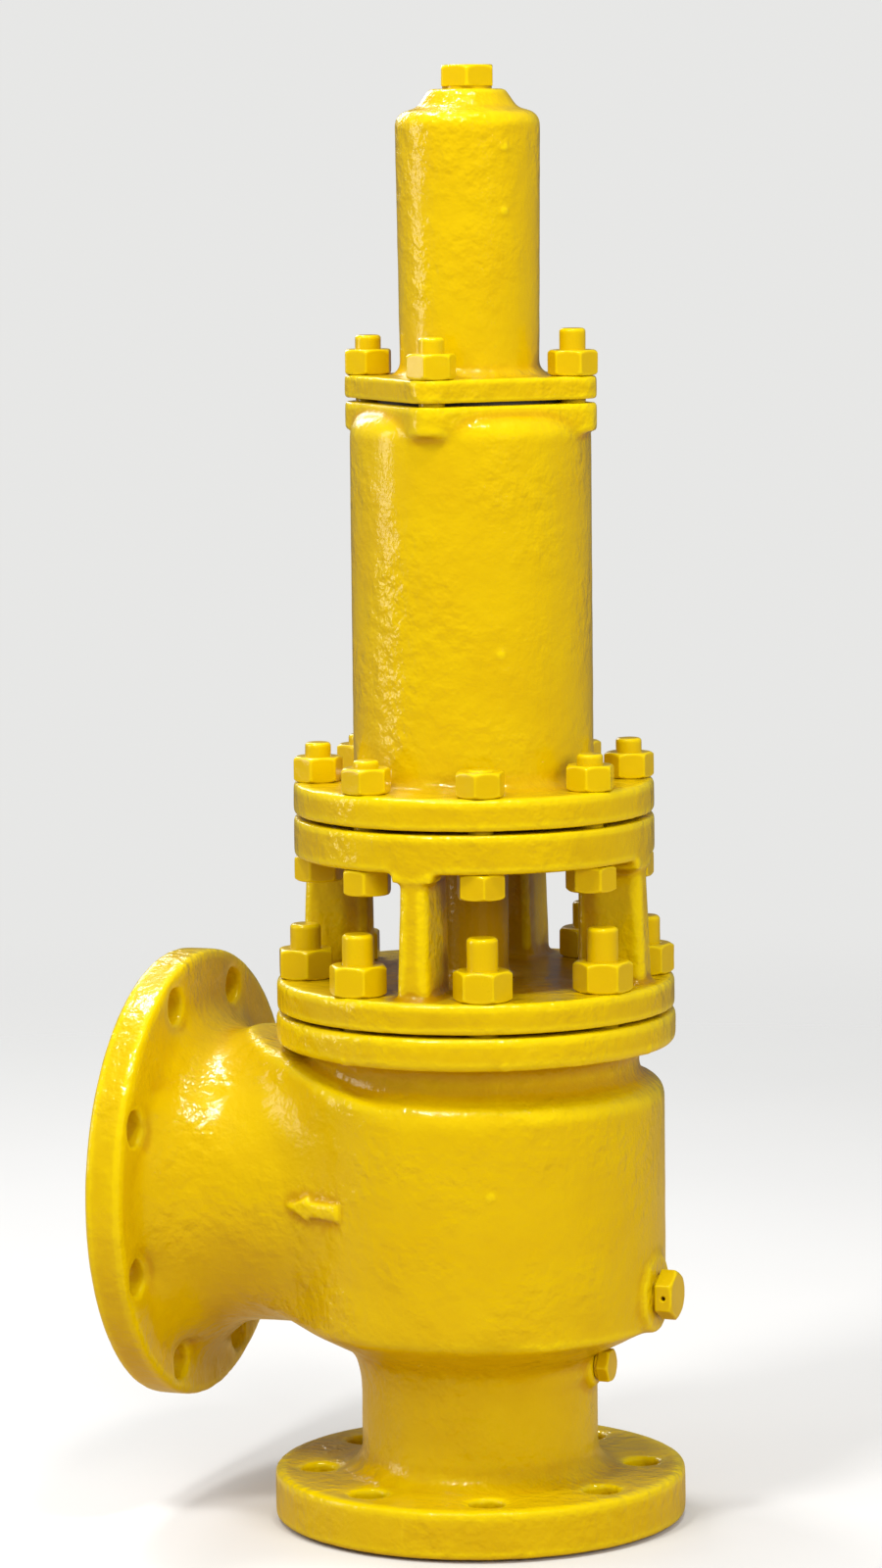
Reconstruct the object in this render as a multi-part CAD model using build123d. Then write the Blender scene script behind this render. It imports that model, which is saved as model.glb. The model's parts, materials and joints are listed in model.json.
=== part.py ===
from build123d import *
import math
import os

# Flanged spring-loaded safety valve with an open lantern between body and bonnet.
# Millimetres. +Z runs up the spindle and the outlet points along -X.
# The origin is the centre of the inlet's raised face.

# Clearances between pieces
slip_gap = 0.15
running_gap = 0.06
thread_gap = 0.05

# Inlet flange and inlet neck
inlet_flange_radius = 127.0
inlet_flange_thickness = 31.75
inlet_bolt_edge = 27.0
inlet_bolt_hole_radius = 11.1
inlet_spot_face_radius = 18.5
inlet_raised_face_radius = 78.6
raised_face_height = 1.6
inlet_neck_radius = 73.0
inlet_neck_fillet = 14.0
flange_bolt_count = 8
flange_edge_round = 2.0

# Outlet flange and outlet neck
outlet_height = 205.0
outlet_reach = 205.0
outlet_flange_radius = 139.7
outlet_flange_thickness = 25.4
outlet_bolt_edge = 19.05
outlet_bolt_hole_radius = 11.1
outlet_spot_face_radius = 17.0
outlet_raised_face_radius = 107.95
outlet_neck_radius = 90.0
outlet_bore_radius = 76.0
outlet_neck_fillet = 26.0
belly_blend = 55.0
belly_top_start = 35.0
belly_top_slope = 12.6
throat_blend = 30.0
blend_sink = 0.4

# Body bowl and its top flange
body_height = 317.0
bowl_radius = 115.5
bowl_wall = 13.0
bowl_floor_height = 105.0
bowl_floor_rise = 20.0
bowl_floor_round = 34.0
collar_radius = 75.5
collar_height = 14.0
collar_fillet = 10.0
groove_radius = 100.0
groove_height = 21.5
body_flange_radius = 122.5
body_flange_thickness = 20.5
body_mouth_radius = 84.0

# Nozzle and its adjusting ring
nozzle_foot_thickness = 8.0
nozzle_shank_radius = 60.0
nozzle_shank_height = 86.0
nozzle_barrel_radius = 44.0
nozzle_inlet_radius = 50.8
nozzle_inlet_depth = 24.0
nozzle_throat_radius = 29.85
nozzle_throat_length = 46.0
seat_height = 152.0
seat_width = 4.0
ring_radius = 54.0
ring_height = 24.0
ring_notch_count = 16
ring_notch_width = 10.0
ring_notch_depth = 4.0

# Ring set screw and drain plug
set_screw_height = 145.5
set_screw_boss_radius = 24.0
set_screw_boss_reach = 117.0
set_screw_thread_radius = 8.0
set_screw_tip_radius = 4.0
set_screw_head_flats = 27.0
set_screw_head_height = 11.0
lock_wire_hole_radius = 1.5
drain_height = 99.0
drain_boss_radius = 13.5
drain_boss_reach = 78.0
drain_spot_face_radius = 14.5
drain_thread_radius = 7.0
drain_head_flats = 19.0
drain_head_height = 7.5
seal_ring_thickness = 1.5
seal_ring_width = 4.0

# Disc, disc holder and guide
disc_radius = 37.0
disc_thickness = 14.0
disc_stub_radius = 12.0
disc_stub_height = 11.0
disc_clip_width = 3.0
disc_clip_thickness = 2.0
holder_radius = 52.0
holder_rim_clearance = 3.0
holder_rim_thickness = 4.0
holder_crown_height = 28.0
holder_stem_radius = 24.0
holder_engagement = 49.0
guide_flange_radius = 91.0
guide_flange_thickness = 8.0
guide_wall = 10.0
guide_length = 104.0
spindle_pin_radius = 3.0

# Lantern: foot plate, head plate, four ribs and the spindle tube
lantern_height = 118.0
lantern_foot_radius = 122.0
lantern_foot_thickness = 18.5
lantern_head_radius = 110.2
lantern_head_thickness = 24.0
lantern_rib_count = 4
lantern_rib_width = 17.0
lantern_rib_depth = 40.0
lantern_rib_draft = 3.0
lantern_rib_round = 5.0
lantern_lip_width = 26.0
lantern_lip_height = 5.0
lantern_lip_depth = 20.0
lantern_tube_radius = 20.5
lantern_tube_bore_radius = 14.0
bush_length = 30.0
gasket_thickness = 2.0

# Studs and nuts between body and lantern
lantern_stud_count = 8
lantern_stud_circle_radius = 104.0
lantern_stud_radius = 9.5
lantern_stud_depth = 17.0
lantern_stud_stands = [17.0, 16.0, 18.0, 17.0, 15.0, 18.5, 19.5, 20.5]
lantern_nut_flats = 31.75
lantern_nut_height = 18.5

# Studs and nuts between lantern and bonnet
bonnet_stud_count = 8
bonnet_stud_circle_radius = 95.0
bonnet_stud_radius = 7.9
bonnet_stud_stands = [8.5, 6.0, 7.0, 6.0, 8.5, 4.5, 1.0, 6.5]
bonnet_stud_lower_stand = 0.8
bonnet_nut_flats = 27.0
bonnet_nut_height = 15.5

# Bonnet
bonnet_height = 250.0
bonnet_foot_radius = 110.2
bonnet_foot_thickness = 19.5
bonnet_foot_fillet = 10.0
bonnet_spot_face_radius = 17.0
bonnet_radius = 73.3
bonnet_wall = 9.3
bonnet_head_thickness = 17.5
bonnet_shoulder_round = 14.0
bonnet_shoulder_drop = 6.0
bonnet_roof_thickness = 34.0
square_corner_radius = 14.5

# Spindle, spring and spring washers
spindle_radius = 10.0
spindle_collar_radius = 15.0
spindle_collar_height = 12.0
spindle_stand = 34.0
spring_wire_radius = 8.0
spring_mean_radius = 46.0
spring_turns = 6.0
washer_thickness = 14.0
washer_gap = 17.0
washer_lip_height = 4.0

# Adjusting screw and lock nut
adjusting_screw_radius = 19.0
adjusting_screw_stand = 34.0
adjusting_screw_flats = 26.0
adjusting_screw_drive_height = 18.0
lock_nut_flats = 55.0
lock_nut_height = 20.0

# Cap, its studs and its plug
cap_height = 186.0
cap_foot_thickness = 14.0
cap_foot_fillet = 5.0
cap_lower_radius = 42.2
cap_upper_radius = 43.9
cap_bore_radius = 34.0
cap_shoulder_drop = 13.0
cap_shoulder_round = 9.0
cap_boss_radius = 29.3
cap_boss_top_radius = 22.8
cap_boss_height = 11.0
cap_roof_thickness = 14.0
cap_stud_count = 4
cap_stud_circle_radius = 66.0
cap_stud_radius = 7.9
cap_stud_depth = 14.0
cap_stud_stands = [13.0, 8.0, 8.5, 9.5]
cap_nut_flats = 27.0
cap_nut_height = 15.5
plug_thread_radius = 12.0
plug_thread_length = 24.0
plug_head_flats = 31.0
plug_head_height = 13.0
plug_head_turn = 50.0

# Bolt circles, which keep their distance from the flanges' rims
inlet_bolt_circle_radius = inlet_flange_radius - inlet_bolt_edge
outlet_bolt_circle_radius = outlet_flange_radius - outlet_bolt_edge

# Heights that follow from the stack
bowl_shoulder_height = body_height - body_flange_thickness - groove_height
lantern_foot_level = body_height + gasket_thickness
lantern_floor_level = lantern_foot_level + lantern_foot_thickness
lantern_top_level = lantern_foot_level + lantern_height
lantern_head_level = lantern_top_level - lantern_head_thickness
bonnet_foot_level = lantern_top_level + gasket_thickness
bonnet_flange_level = bonnet_foot_level + bonnet_foot_thickness
bonnet_top_level = bonnet_foot_level + bonnet_height
bonnet_roof_level = bonnet_top_level - bonnet_roof_thickness
cap_foot_level = bonnet_top_level + gasket_thickness
cap_flange_level = cap_foot_level + cap_foot_thickness
cap_top_level = cap_foot_level + cap_height
cap_boss_level = cap_top_level - cap_boss_height
disc_top_level = seat_height + disc_thickness
holder_rim_level = seat_height + holder_rim_clearance
holder_crown_level = holder_rim_level + holder_crown_height
guide_tube_radius = holder_stem_radius + running_gap + guide_wall
guide_foot_level = body_height - guide_length
holder_top_level = guide_foot_level + holder_engagement
spindle_foot_level = holder_crown_level + spindle_pin_radius
spindle_pin_level = (guide_foot_level + holder_top_level) / 2 + spindle_pin_radius
lower_washer_level = bonnet_foot_level + washer_gap
upper_washer_level = bonnet_roof_level - washer_gap - washer_thickness
spring_foot_level = lower_washer_level + washer_thickness
lock_nut_level = bonnet_top_level
adjusting_screw_top = lock_nut_level + lock_nut_height + adjusting_screw_stand
spindle_top_level = adjusting_screw_top + spindle_stand
ring_foot_level = seat_height - ring_height
half_pattern = 180.0 / flange_bolt_count
plate_side_reach = cap_stud_circle_radius / math.sqrt(2) + square_corner_radius


def turned(*corners):
    """Solid of revolution about Z. A corner is (radius, height) or (radius, height, rounding)."""
    points = [(corner[0], corner[1]) for corner in corners]
    rounds = [corner[2] if len(corner) > 2 else 0 for corner in corners]
    outline = FilletPolyline(*points, radius=rounds, close=True)
    return revolve(Plane.XZ * make_face(outline), Axis.Z)


def disc_of(radius, low, high):
    """Plain cylinder on the Z axis between two heights."""
    return Pos(0, 0, low) * extrude(Circle(radius), high - low)


def tube_of(outer, inner, low, high):
    """Plain ring on the Z axis between two heights."""
    return Pos(0, 0, low) * extrude(Circle(outer) - Circle(inner), high - low)


def hexagon(flats, height, turn=0.0):
    """Hexagonal prism standing on the XY plane."""
    sketch = RegularPolygon(flats / 2, 6, major_radius=False, rotation=turn)
    return extrude(sketch, height)


def chamfered_hexagon(flats, height, both_ends, turn=0.0):
    """Hexagonal prism whose corners are turned off at the top, or at both ends."""
    corner = flats / math.sqrt(3)
    crown = flats * 0.485
    drop = (corner - crown) * 0.6
    outline = [(0, 0), (crown, 0), (corner, drop)] if both_ends else [(0, 0), (corner, 0)]
    outline += [(corner, height - drop), (crown, height), (0, height)]
    return hexagon(flats, height, turn) & turned(*outline)


def nut(flats, height, bore, turn):
    """Heavy hexagon nut standing on the XY plane."""
    return chamfered_hexagon(flats, height, True, turn) - disc_of(bore + thread_gap, 0, height)


def stud(radius, length):
    """Stud standing on the XY plane, with both ends chamfered."""
    tip = radius * 0.16
    inner = radius - tip
    return turned((0, 0), (inner, 0), (radius, tip), (radius, length - tip), (inner, length), (0, length))


def spread(piece_at, count, circle_radius, start_angle):
    """Separate solids placed evenly round the Z axis, each made by piece_at(number)."""
    places = PolarLocations(circle_radius, count, start_angle)
    return Compound([place * piece_at(number) for number, place in enumerate(places)])


def holes(radius, circle_radius, count, start_angle, low, high):
    """Drills spread evenly round the Z axis."""
    drill = disc_of(radius, low, high)
    places = PolarLocations(circle_radius, count, start_angle)
    return Compound([place * drill for place in places])


def towards_outlet(shape):
    """Turns a shape made along +Z so that it starts on the outlet's face and runs inwards."""
    return Pos(-outlet_reach, 0, outlet_height) * Rot(0, 90, 0) * shape


def sideways(shape, height):
    """Turns a shape made along +Z so that it runs along +X at a height."""
    return Pos(0, 0, height) * Rot(0, 90, 0) * shape


def square_plate(low, thickness):
    """Square plate with rounded corners that lie on the X and Y axes."""
    side = 2 * plate_side_reach
    sketch = RectangleRounded(side, side, square_corner_radius, rotation=45)
    return Pos(0, 0, low) * extrude(sketch, thickness)


def rounded_tee(radius, low, high, past, blend, sink):
    """Upright cylinder with the outlet's neck running into it, and a rounded crease between them.

    Both are a little smaller than the real walls, so that only the rounding stands out of them.
    """
    upright = disc_of(radius - sink, low, high)
    neck_length = outlet_reach - outlet_flange_thickness / 2 + past
    neck = Pos(past, 0, outlet_height) * Rot(0, -90, 0) * disc_of(outlet_neck_radius - sink, 0, neck_length)
    tee = upright + neck
    return fillet(new_edges(upright, neck, combined=tee), blend)


def belly():
    """Swelling that leads the bowl into the outlet's neck and climbs to the top flange there."""
    room = outlet_neck_radius + 1.5 * belly_blend
    reach = bowl_radius + belly_blend
    floor = bowl_floor_height + blend_sink
    floor_slope = bowl_floor_rise / (bowl_radius - collar_radius)
    ceiling = body_height - body_flange_thickness / 2
    envelope = turned(
        (0, floor),
        (collar_radius, floor),
        (reach, floor + floor_slope * (reach - collar_radius)),
        (reach, ceiling),
        (0, ceiling),
    )
    under_slope = Pos(-belly_top_start, 0, bowl_shoulder_height) * Rot(0, belly_top_slope, 0) * Pos(
        0, 0, -reach) * Box(4 * reach, 2 * reach, 2 * reach)
    tee = rounded_tee(bowl_radius, outlet_height - room, outlet_height + room, 0, belly_blend, blend_sink)
    return tee & envelope & under_slope


def throat():
    """Rounded crease between the inlet's neck and the underside of the outlet's neck."""
    low = inlet_flange_thickness + inlet_neck_fillet
    past = outlet_neck_radius + throat_blend
    tee = rounded_tee(inlet_neck_radius, low, outlet_height, past, throat_blend, 2 * blend_sink)
    outlet_side = Box(2 * outlet_reach, 4 * bowl_radius, 2 * outlet_height)
    return tee & Pos(-outlet_reach, 0, outlet_height) * outlet_side


def body_casting():
    """Outside of the body: inlet flange, neck, bowl, top flange and outlet."""
    neck_top = bowl_floor_height - collar_height
    flange_foot = body_height - body_flange_thickness
    stem = turned(
        (0, raised_face_height),
        (inlet_flange_radius, raised_face_height, flange_edge_round),
        (inlet_flange_radius, inlet_flange_thickness, flange_edge_round),
        (inlet_neck_radius, inlet_flange_thickness, inlet_neck_fillet),
        (inlet_neck_radius, neck_top, 3),
        (collar_radius, neck_top + 3, 3),
        (collar_radius, bowl_floor_height, collar_fillet),
        (bowl_radius, bowl_floor_height + bowl_floor_rise, bowl_floor_round),
        (bowl_radius, bowl_shoulder_height, 12),
        (groove_radius, bowl_shoulder_height, 7),
        (groove_radius, flange_foot, 7),
        (body_flange_radius, flange_foot, 5),
        (body_flange_radius, body_height, flange_edge_round),
        (0, body_height),
    )
    neck_end = outlet_reach - outlet_bore_radius
    outlet = turned(
        (0, 0),
        (outlet_raised_face_radius, 0),
        (outlet_raised_face_radius, raised_face_height),
        (outlet_flange_radius, raised_face_height, flange_edge_round),
        (outlet_flange_radius, outlet_flange_thickness, flange_edge_round),
        (outlet_neck_radius, outlet_flange_thickness, outlet_neck_fillet),
        (outlet_neck_radius, neck_end),
        (0, neck_end),
    )
    return stem + towards_outlet(outlet) + belly() + throat()


def body_cavity():
    """Inside of the body: nozzle seat, bowl, guide register and outlet bore."""
    floor = bowl_floor_height + bowl_wall
    roof = bowl_shoulder_height - bowl_wall
    inner = bowl_radius - bowl_wall
    bore = nozzle_shank_radius + slip_gap
    register = guide_flange_radius + slip_gap
    well = turned(
        (0, 0),
        (inlet_raised_face_radius + slip_gap, 0),
        (inlet_raised_face_radius + slip_gap, nozzle_foot_thickness),
        (bore, nozzle_foot_thickness),
        (bore, floor - bowl_floor_rise / 2, 5),
        (inner, floor + bowl_floor_rise / 2, 16),
        (inner, roof, 12),
        (body_mouth_radius, roof + 8, 6),
        (body_mouth_radius, body_height - guide_flange_thickness),
        (register, body_height - guide_flange_thickness),
        (register, body_height + 1),
        (0, body_height + 1),
    )
    outlet = disc_of(outlet_bore_radius, -1, outlet_reach - nozzle_barrel_radius)
    return well + towards_outlet(outlet)


def make_body():
    """The cast body, bored and drilled."""
    solid = body_casting()
    screw_boss = disc_of(set_screw_boss_radius, bowl_radius - bowl_wall, set_screw_boss_reach)
    drain_boss = disc_of(drain_boss_radius, nozzle_shank_radius + 3, drain_boss_reach)
    solid += sideways(screw_boss, set_screw_height)
    solid += sideways(drain_boss, drain_height)
    solid -= body_cavity()
    set_screw_bore = disc_of(set_screw_thread_radius + thread_gap, ring_radius, bowl_radius * 2)
    solid -= sideways(set_screw_bore, set_screw_height)
    drain_start = nozzle_barrel_radius + slip_gap
    solid -= sideways(disc_of(drain_thread_radius + thread_gap, drain_start, bowl_radius), drain_height)
    solid -= sideways(disc_of(drain_spot_face_radius, drain_boss_reach, bowl_radius), drain_height)
    solid -= holes(inlet_bolt_hole_radius, inlet_bolt_circle_radius, flange_bolt_count, half_pattern,
                   0, inlet_flange_thickness + 1)
    inlet_spot_top = inlet_flange_thickness + inlet_neck_fillet
    solid -= holes(inlet_spot_face_radius, inlet_bolt_circle_radius, flange_bolt_count, half_pattern,
                   inlet_flange_thickness - 0.8, inlet_spot_top)
    outlet_spot_top = outlet_flange_thickness + outlet_neck_fillet
    solid -= towards_outlet(holes(outlet_bolt_hole_radius, outlet_bolt_circle_radius, flange_bolt_count,
                                  half_pattern, 0, outlet_flange_thickness + 1))
    solid -= towards_outlet(holes(outlet_spot_face_radius, outlet_bolt_circle_radius, flange_bolt_count,
                                  half_pattern, outlet_flange_thickness - 0.8, outlet_spot_top))
    stud_pattern = 180.0 / lantern_stud_count
    solid -= holes(lantern_stud_radius + thread_gap, lantern_stud_circle_radius, lantern_stud_count,
                   stud_pattern, body_height - lantern_stud_depth, body_height + 1)
    return solid


def make_nozzle():
    """Full nozzle: raised face, threaded shank, barrel for the ring and the seat."""
    throat_foot = seat_height - nozzle_throat_length
    lip = nozzle_throat_radius + seat_width
    return turned(
        (nozzle_inlet_radius, 0),
        (inlet_raised_face_radius, 0),
        (inlet_raised_face_radius, nozzle_foot_thickness),
        (nozzle_shank_radius, nozzle_foot_thickness),
        (nozzle_shank_radius, nozzle_shank_height),
        (nozzle_barrel_radius, nozzle_shank_height, 3),
        (nozzle_barrel_radius, seat_height - 5),
        (nozzle_barrel_radius - 3, seat_height - 3),
        (lip, seat_height - 3),
        (lip, seat_height),
        (nozzle_throat_radius, seat_height),
        (nozzle_throat_radius, throat_foot),
        (nozzle_inlet_radius, nozzle_inlet_depth),
    )


def make_nozzle_ring():
    """Adjusting ring with notches for the set screw's tip."""
    blank = tube_of(ring_radius, nozzle_barrel_radius + running_gap, ring_foot_level, seat_height)
    notch = Box(2 * ring_notch_depth, ring_notch_width, 2 * ring_height + 2)
    places = PolarLocations(ring_radius, ring_notch_count)
    return blank - [Pos(0, 0, ring_foot_level) * place * notch for place in places]


def make_ring_set_screw():
    """Hexagon-headed screw whose tip stands in a notch of the ring, with lock-wire holes."""
    tip = ring_radius - ring_notch_depth + 1.0
    head_foot = set_screw_boss_reach + seal_ring_thickness
    thread_start = bowl_radius - bowl_wall
    head = Pos(0, 0, head_foot) * chamfered_hexagon(set_screw_head_flats, set_screw_head_height, False)
    shank = disc_of(set_screw_thread_radius, thread_start, head_foot)
    pin = disc_of(set_screw_tip_radius, tip, thread_start)
    wire_hole = Pos(0, 0, head_foot + set_screw_head_height / 2) * Rot(90, 0, 0) * Cylinder(
        lock_wire_hole_radius, 2 * set_screw_head_flats)
    return sideways(head + shank + pin - wire_hole, set_screw_height)


def make_set_screw_gasket():
    """Soft ring under the set screw's head."""
    radius = set_screw_thread_radius + seal_ring_width
    ring = tube_of(radius, set_screw_thread_radius + slip_gap, set_screw_boss_reach,
                   set_screw_boss_reach + seal_ring_thickness)
    return sideways(ring, set_screw_height)


def make_drain_plug():
    """Hexagon-headed plug in the neck, where the bowl drains."""
    head_foot = drain_boss_reach + seal_ring_thickness
    head = Pos(0, 0, head_foot) * chamfered_hexagon(drain_head_flats, drain_head_height, False, 30)
    shank = disc_of(drain_thread_radius, nozzle_shank_radius + 2, head_foot)
    return sideways(head + shank, drain_height)


def make_drain_plug_gasket():
    """Soft ring under the drain plug's head."""
    radius = drain_thread_radius + seal_ring_width / 2
    ring = tube_of(radius, drain_thread_radius + slip_gap, drain_boss_reach,
                   drain_boss_reach + seal_ring_thickness)
    return sideways(ring, drain_height)


def make_disc():
    """Disc that closes the seat, with a grooved stub for its clip."""
    groove_foot = disc_top_level + disc_stub_height / 2
    groove = disc_stub_radius - disc_clip_width / 2
    return turned(
        (0, seat_height),
        (disc_radius, seat_height),
        (disc_radius, disc_top_level),
        (disc_stub_radius, disc_top_level),
        (disc_stub_radius, groove_foot),
        (groove, groove_foot),
        (groove, groove_foot + disc_clip_thickness),
        (disc_stub_radius, groove_foot + disc_clip_thickness),
        (disc_stub_radius, disc_top_level + disc_stub_height),
        (0, disc_top_level + disc_stub_height),
    )


def make_disc_clip():
    """Snap ring that keeps the disc in its holder."""
    foot = disc_top_level + disc_stub_height / 2
    inner = disc_stub_radius - disc_clip_width / 2 + running_gap
    ring = tube_of(disc_stub_radius + disc_clip_width / 2 - running_gap, inner,
                   foot, foot + disc_clip_thickness)
    gap = Pos(disc_stub_radius, 0, foot) * Box(3 * disc_clip_width, disc_clip_width, 3 * disc_clip_thickness)
    return ring - gap


def make_disc_holder():
    """Holder with a skirt round the disc and a stem that slides in the guide."""
    groove_foot = disc_top_level + disc_stub_height / 2
    groove = disc_stub_radius + disc_clip_width / 2
    stub_bore = disc_stub_radius + slip_gap
    socket_foot = spindle_foot_level
    socket = spindle_radius + slip_gap
    solid = turned(
        (0, holder_rim_level + holder_rim_thickness),
        (disc_radius + slip_gap, holder_rim_level + holder_rim_thickness),
        (disc_radius + slip_gap, holder_rim_level),
        (holder_radius, holder_rim_level),
        (holder_radius, disc_top_level + holder_rim_thickness),
        (holder_stem_radius, holder_crown_level + holder_rim_thickness),
        (holder_stem_radius, holder_top_level),
        (0, holder_top_level),
    )
    solid -= disc_of(disc_radius + slip_gap, holder_rim_level, disc_top_level)
    solid -= disc_of(stub_bore, disc_top_level, disc_top_level + disc_stub_height + 1)
    solid -= disc_of(groove, groove_foot, groove_foot + disc_clip_thickness)
    solid -= disc_of(socket, socket_foot, holder_top_level + 1)
    return solid - spindle_pin_shape(spindle_pin_radius + running_gap, holder_stem_radius * 3)


def spindle_pin_shape(radius, length):
    """Cylinder across the spindle where its pin goes."""
    return Pos(0, 0, spindle_pin_level) * Rot(90, 0, 0) * Cylinder(radius, length)


def make_spindle_pin():
    """Pin that ties the spindle to the disc holder."""
    return spindle_pin_shape(spindle_pin_radius, 2 * holder_stem_radius - 4)


def make_guide():
    """Guide that hangs from the body's mouth and centres the disc holder."""
    bore = holder_stem_radius + running_gap
    flange_foot = body_height - guide_flange_thickness
    skirt = body_mouth_radius - slip_gap
    return turned(
        (bore, guide_foot_level),
        (guide_tube_radius, guide_foot_level),
        (guide_tube_radius, flange_foot - 30, 6),
        (skirt, flange_foot - 14, 4),
        (skirt, flange_foot),
        (guide_flange_radius, flange_foot),
        (guide_flange_radius, body_height),
        (bore + 14, body_height),
        (bore, flange_foot - 16),
    )


def make_lantern_gasket():
    """Flat gasket between body and lantern."""
    inner = holder_stem_radius + running_gap + 16
    return tube_of(guide_flange_radius, inner, body_height, lantern_foot_level)


def lantern_rib():
    """One rib of the lantern on the +X side, wider at its foot than at its head."""
    outer = lantern_head_radius - 1.5
    middle = outer - lantern_rib_depth / 2
    depth, width, round_off = lantern_rib_depth, lantern_rib_width, lantern_rib_round
    foot_sketch = RectangleRounded(depth + lantern_rib_draft, width + lantern_rib_draft, round_off)
    foot = Pos(middle + lantern_rib_draft / 2, 0, lantern_floor_level - 1) * foot_sketch
    head = Pos(middle, 0, lantern_head_level + 1) * RectangleRounded(depth, width, round_off)
    lip_sketch = RectangleRounded(lantern_lip_depth, lantern_lip_width, 2)
    lip_middle = lantern_head_radius - lantern_lip_depth / 2
    lip_foot = lantern_head_level - lantern_lip_height
    return loft([foot, head]) + Pos(lip_middle, 0, lip_foot) * extrude(lip_sketch, lantern_lip_height + 1)


def make_lantern():
    """Open lantern: two flanges on four ribs, with the spindle tube between them."""
    solid = turned(
        (0, lantern_foot_level),
        (lantern_foot_radius, lantern_foot_level, 1.5),
        (lantern_foot_radius, lantern_floor_level, 2.5),
        (lantern_tube_radius, lantern_floor_level, 5),
        (lantern_tube_radius, lantern_head_level, 5),
        (lantern_head_radius, lantern_head_level, 3),
        (lantern_head_radius, lantern_top_level, 1.5),
        (0, lantern_top_level),
    )
    rib = lantern_rib()
    for number in range(lantern_rib_count):
        solid += Rot(0, 0, number * 360 / lantern_rib_count) * rib
    bush_bore = lantern_tube_bore_radius + slip_gap
    solid -= disc_of(spindle_radius + 2, lantern_foot_level - 1, lantern_top_level + 1)
    solid -= disc_of(bush_bore, lantern_top_level - bush_length, lantern_top_level + 1)
    solid -= holes(lantern_stud_radius + slip_gap * 4, lantern_stud_circle_radius, lantern_stud_count,
                   180.0 / lantern_stud_count, lantern_foot_level - 1, lantern_floor_level + 1)
    solid -= holes(bonnet_stud_radius + slip_gap * 4, bonnet_stud_circle_radius, bonnet_stud_count,
                   180.0 / bonnet_stud_count, lantern_head_level - 1, lantern_top_level + 1)
    return solid


def make_spindle_bush():
    """Bush in the top of the lantern that steadies the spindle."""
    return tube_of(lantern_tube_bore_radius, spindle_radius + running_gap,
                   lantern_top_level - bush_length, lantern_top_level)


def lantern_stud_at(number):
    """Stud from the body's flange up through the lantern's foot and its nut."""
    foot = body_height - lantern_stud_depth
    top = lantern_floor_level + lantern_nut_height + lantern_stud_stands[number % len(lantern_stud_stands)]
    return Pos(0, 0, foot) * stud(lantern_stud_radius, top - foot)


def make_lantern_studs():
    """Studs screwed into the body's flange."""
    return spread(lantern_stud_at, lantern_stud_count, lantern_stud_circle_radius, 180.0 / lantern_stud_count)


def make_lantern_nuts():
    """Nuts on the lantern's foot, each left at its own angle."""
    def nut_at(number):
        return Pos(0, 0, lantern_floor_level) * nut(
            lantern_nut_flats, lantern_nut_height, lantern_stud_radius, 23 * number)
    return spread(nut_at, lantern_stud_count, lantern_stud_circle_radius, 180.0 / lantern_stud_count)


def make_bonnet_gasket():
    """Flat gasket between lantern and bonnet."""
    outer = bonnet_stud_circle_radius - bonnet_stud_radius - 2
    return tube_of(outer, bonnet_radius - bonnet_wall, lantern_top_level, bonnet_foot_level)


def bonnet_stud_at(number):
    """Stud through the lantern's head and the bonnet's foot, with a nut at each end."""
    foot = lantern_head_level - bonnet_nut_height - bonnet_stud_lower_stand
    top = bonnet_flange_level + bonnet_nut_height + bonnet_stud_stands[number % len(bonnet_stud_stands)]
    return Pos(0, 0, foot) * stud(bonnet_stud_radius, top - foot)


def make_bonnet_studs():
    """Through studs of the bonnet joint."""
    return spread(bonnet_stud_at, bonnet_stud_count, bonnet_stud_circle_radius, 180.0 / bonnet_stud_count)


def make_bonnet_upper_nuts():
    """Nuts on the bonnet's foot."""
    def nut_at(number):
        return Pos(0, 0, bonnet_flange_level) * nut(
            bonnet_nut_flats, bonnet_nut_height, bonnet_stud_radius, 17 * number + 4)
    return spread(nut_at, bonnet_stud_count, bonnet_stud_circle_radius, 180.0 / bonnet_stud_count)


def make_bonnet_lower_nuts():
    """Nuts under the lantern's head."""
    def nut_at(number):
        return Pos(0, 0, lantern_head_level - bonnet_nut_height) * nut(
            bonnet_nut_flats, bonnet_nut_height, bonnet_stud_radius, 29 * number + 11)
    return spread(nut_at, bonnet_stud_count, bonnet_stud_circle_radius, 180.0 / bonnet_stud_count)


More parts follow.
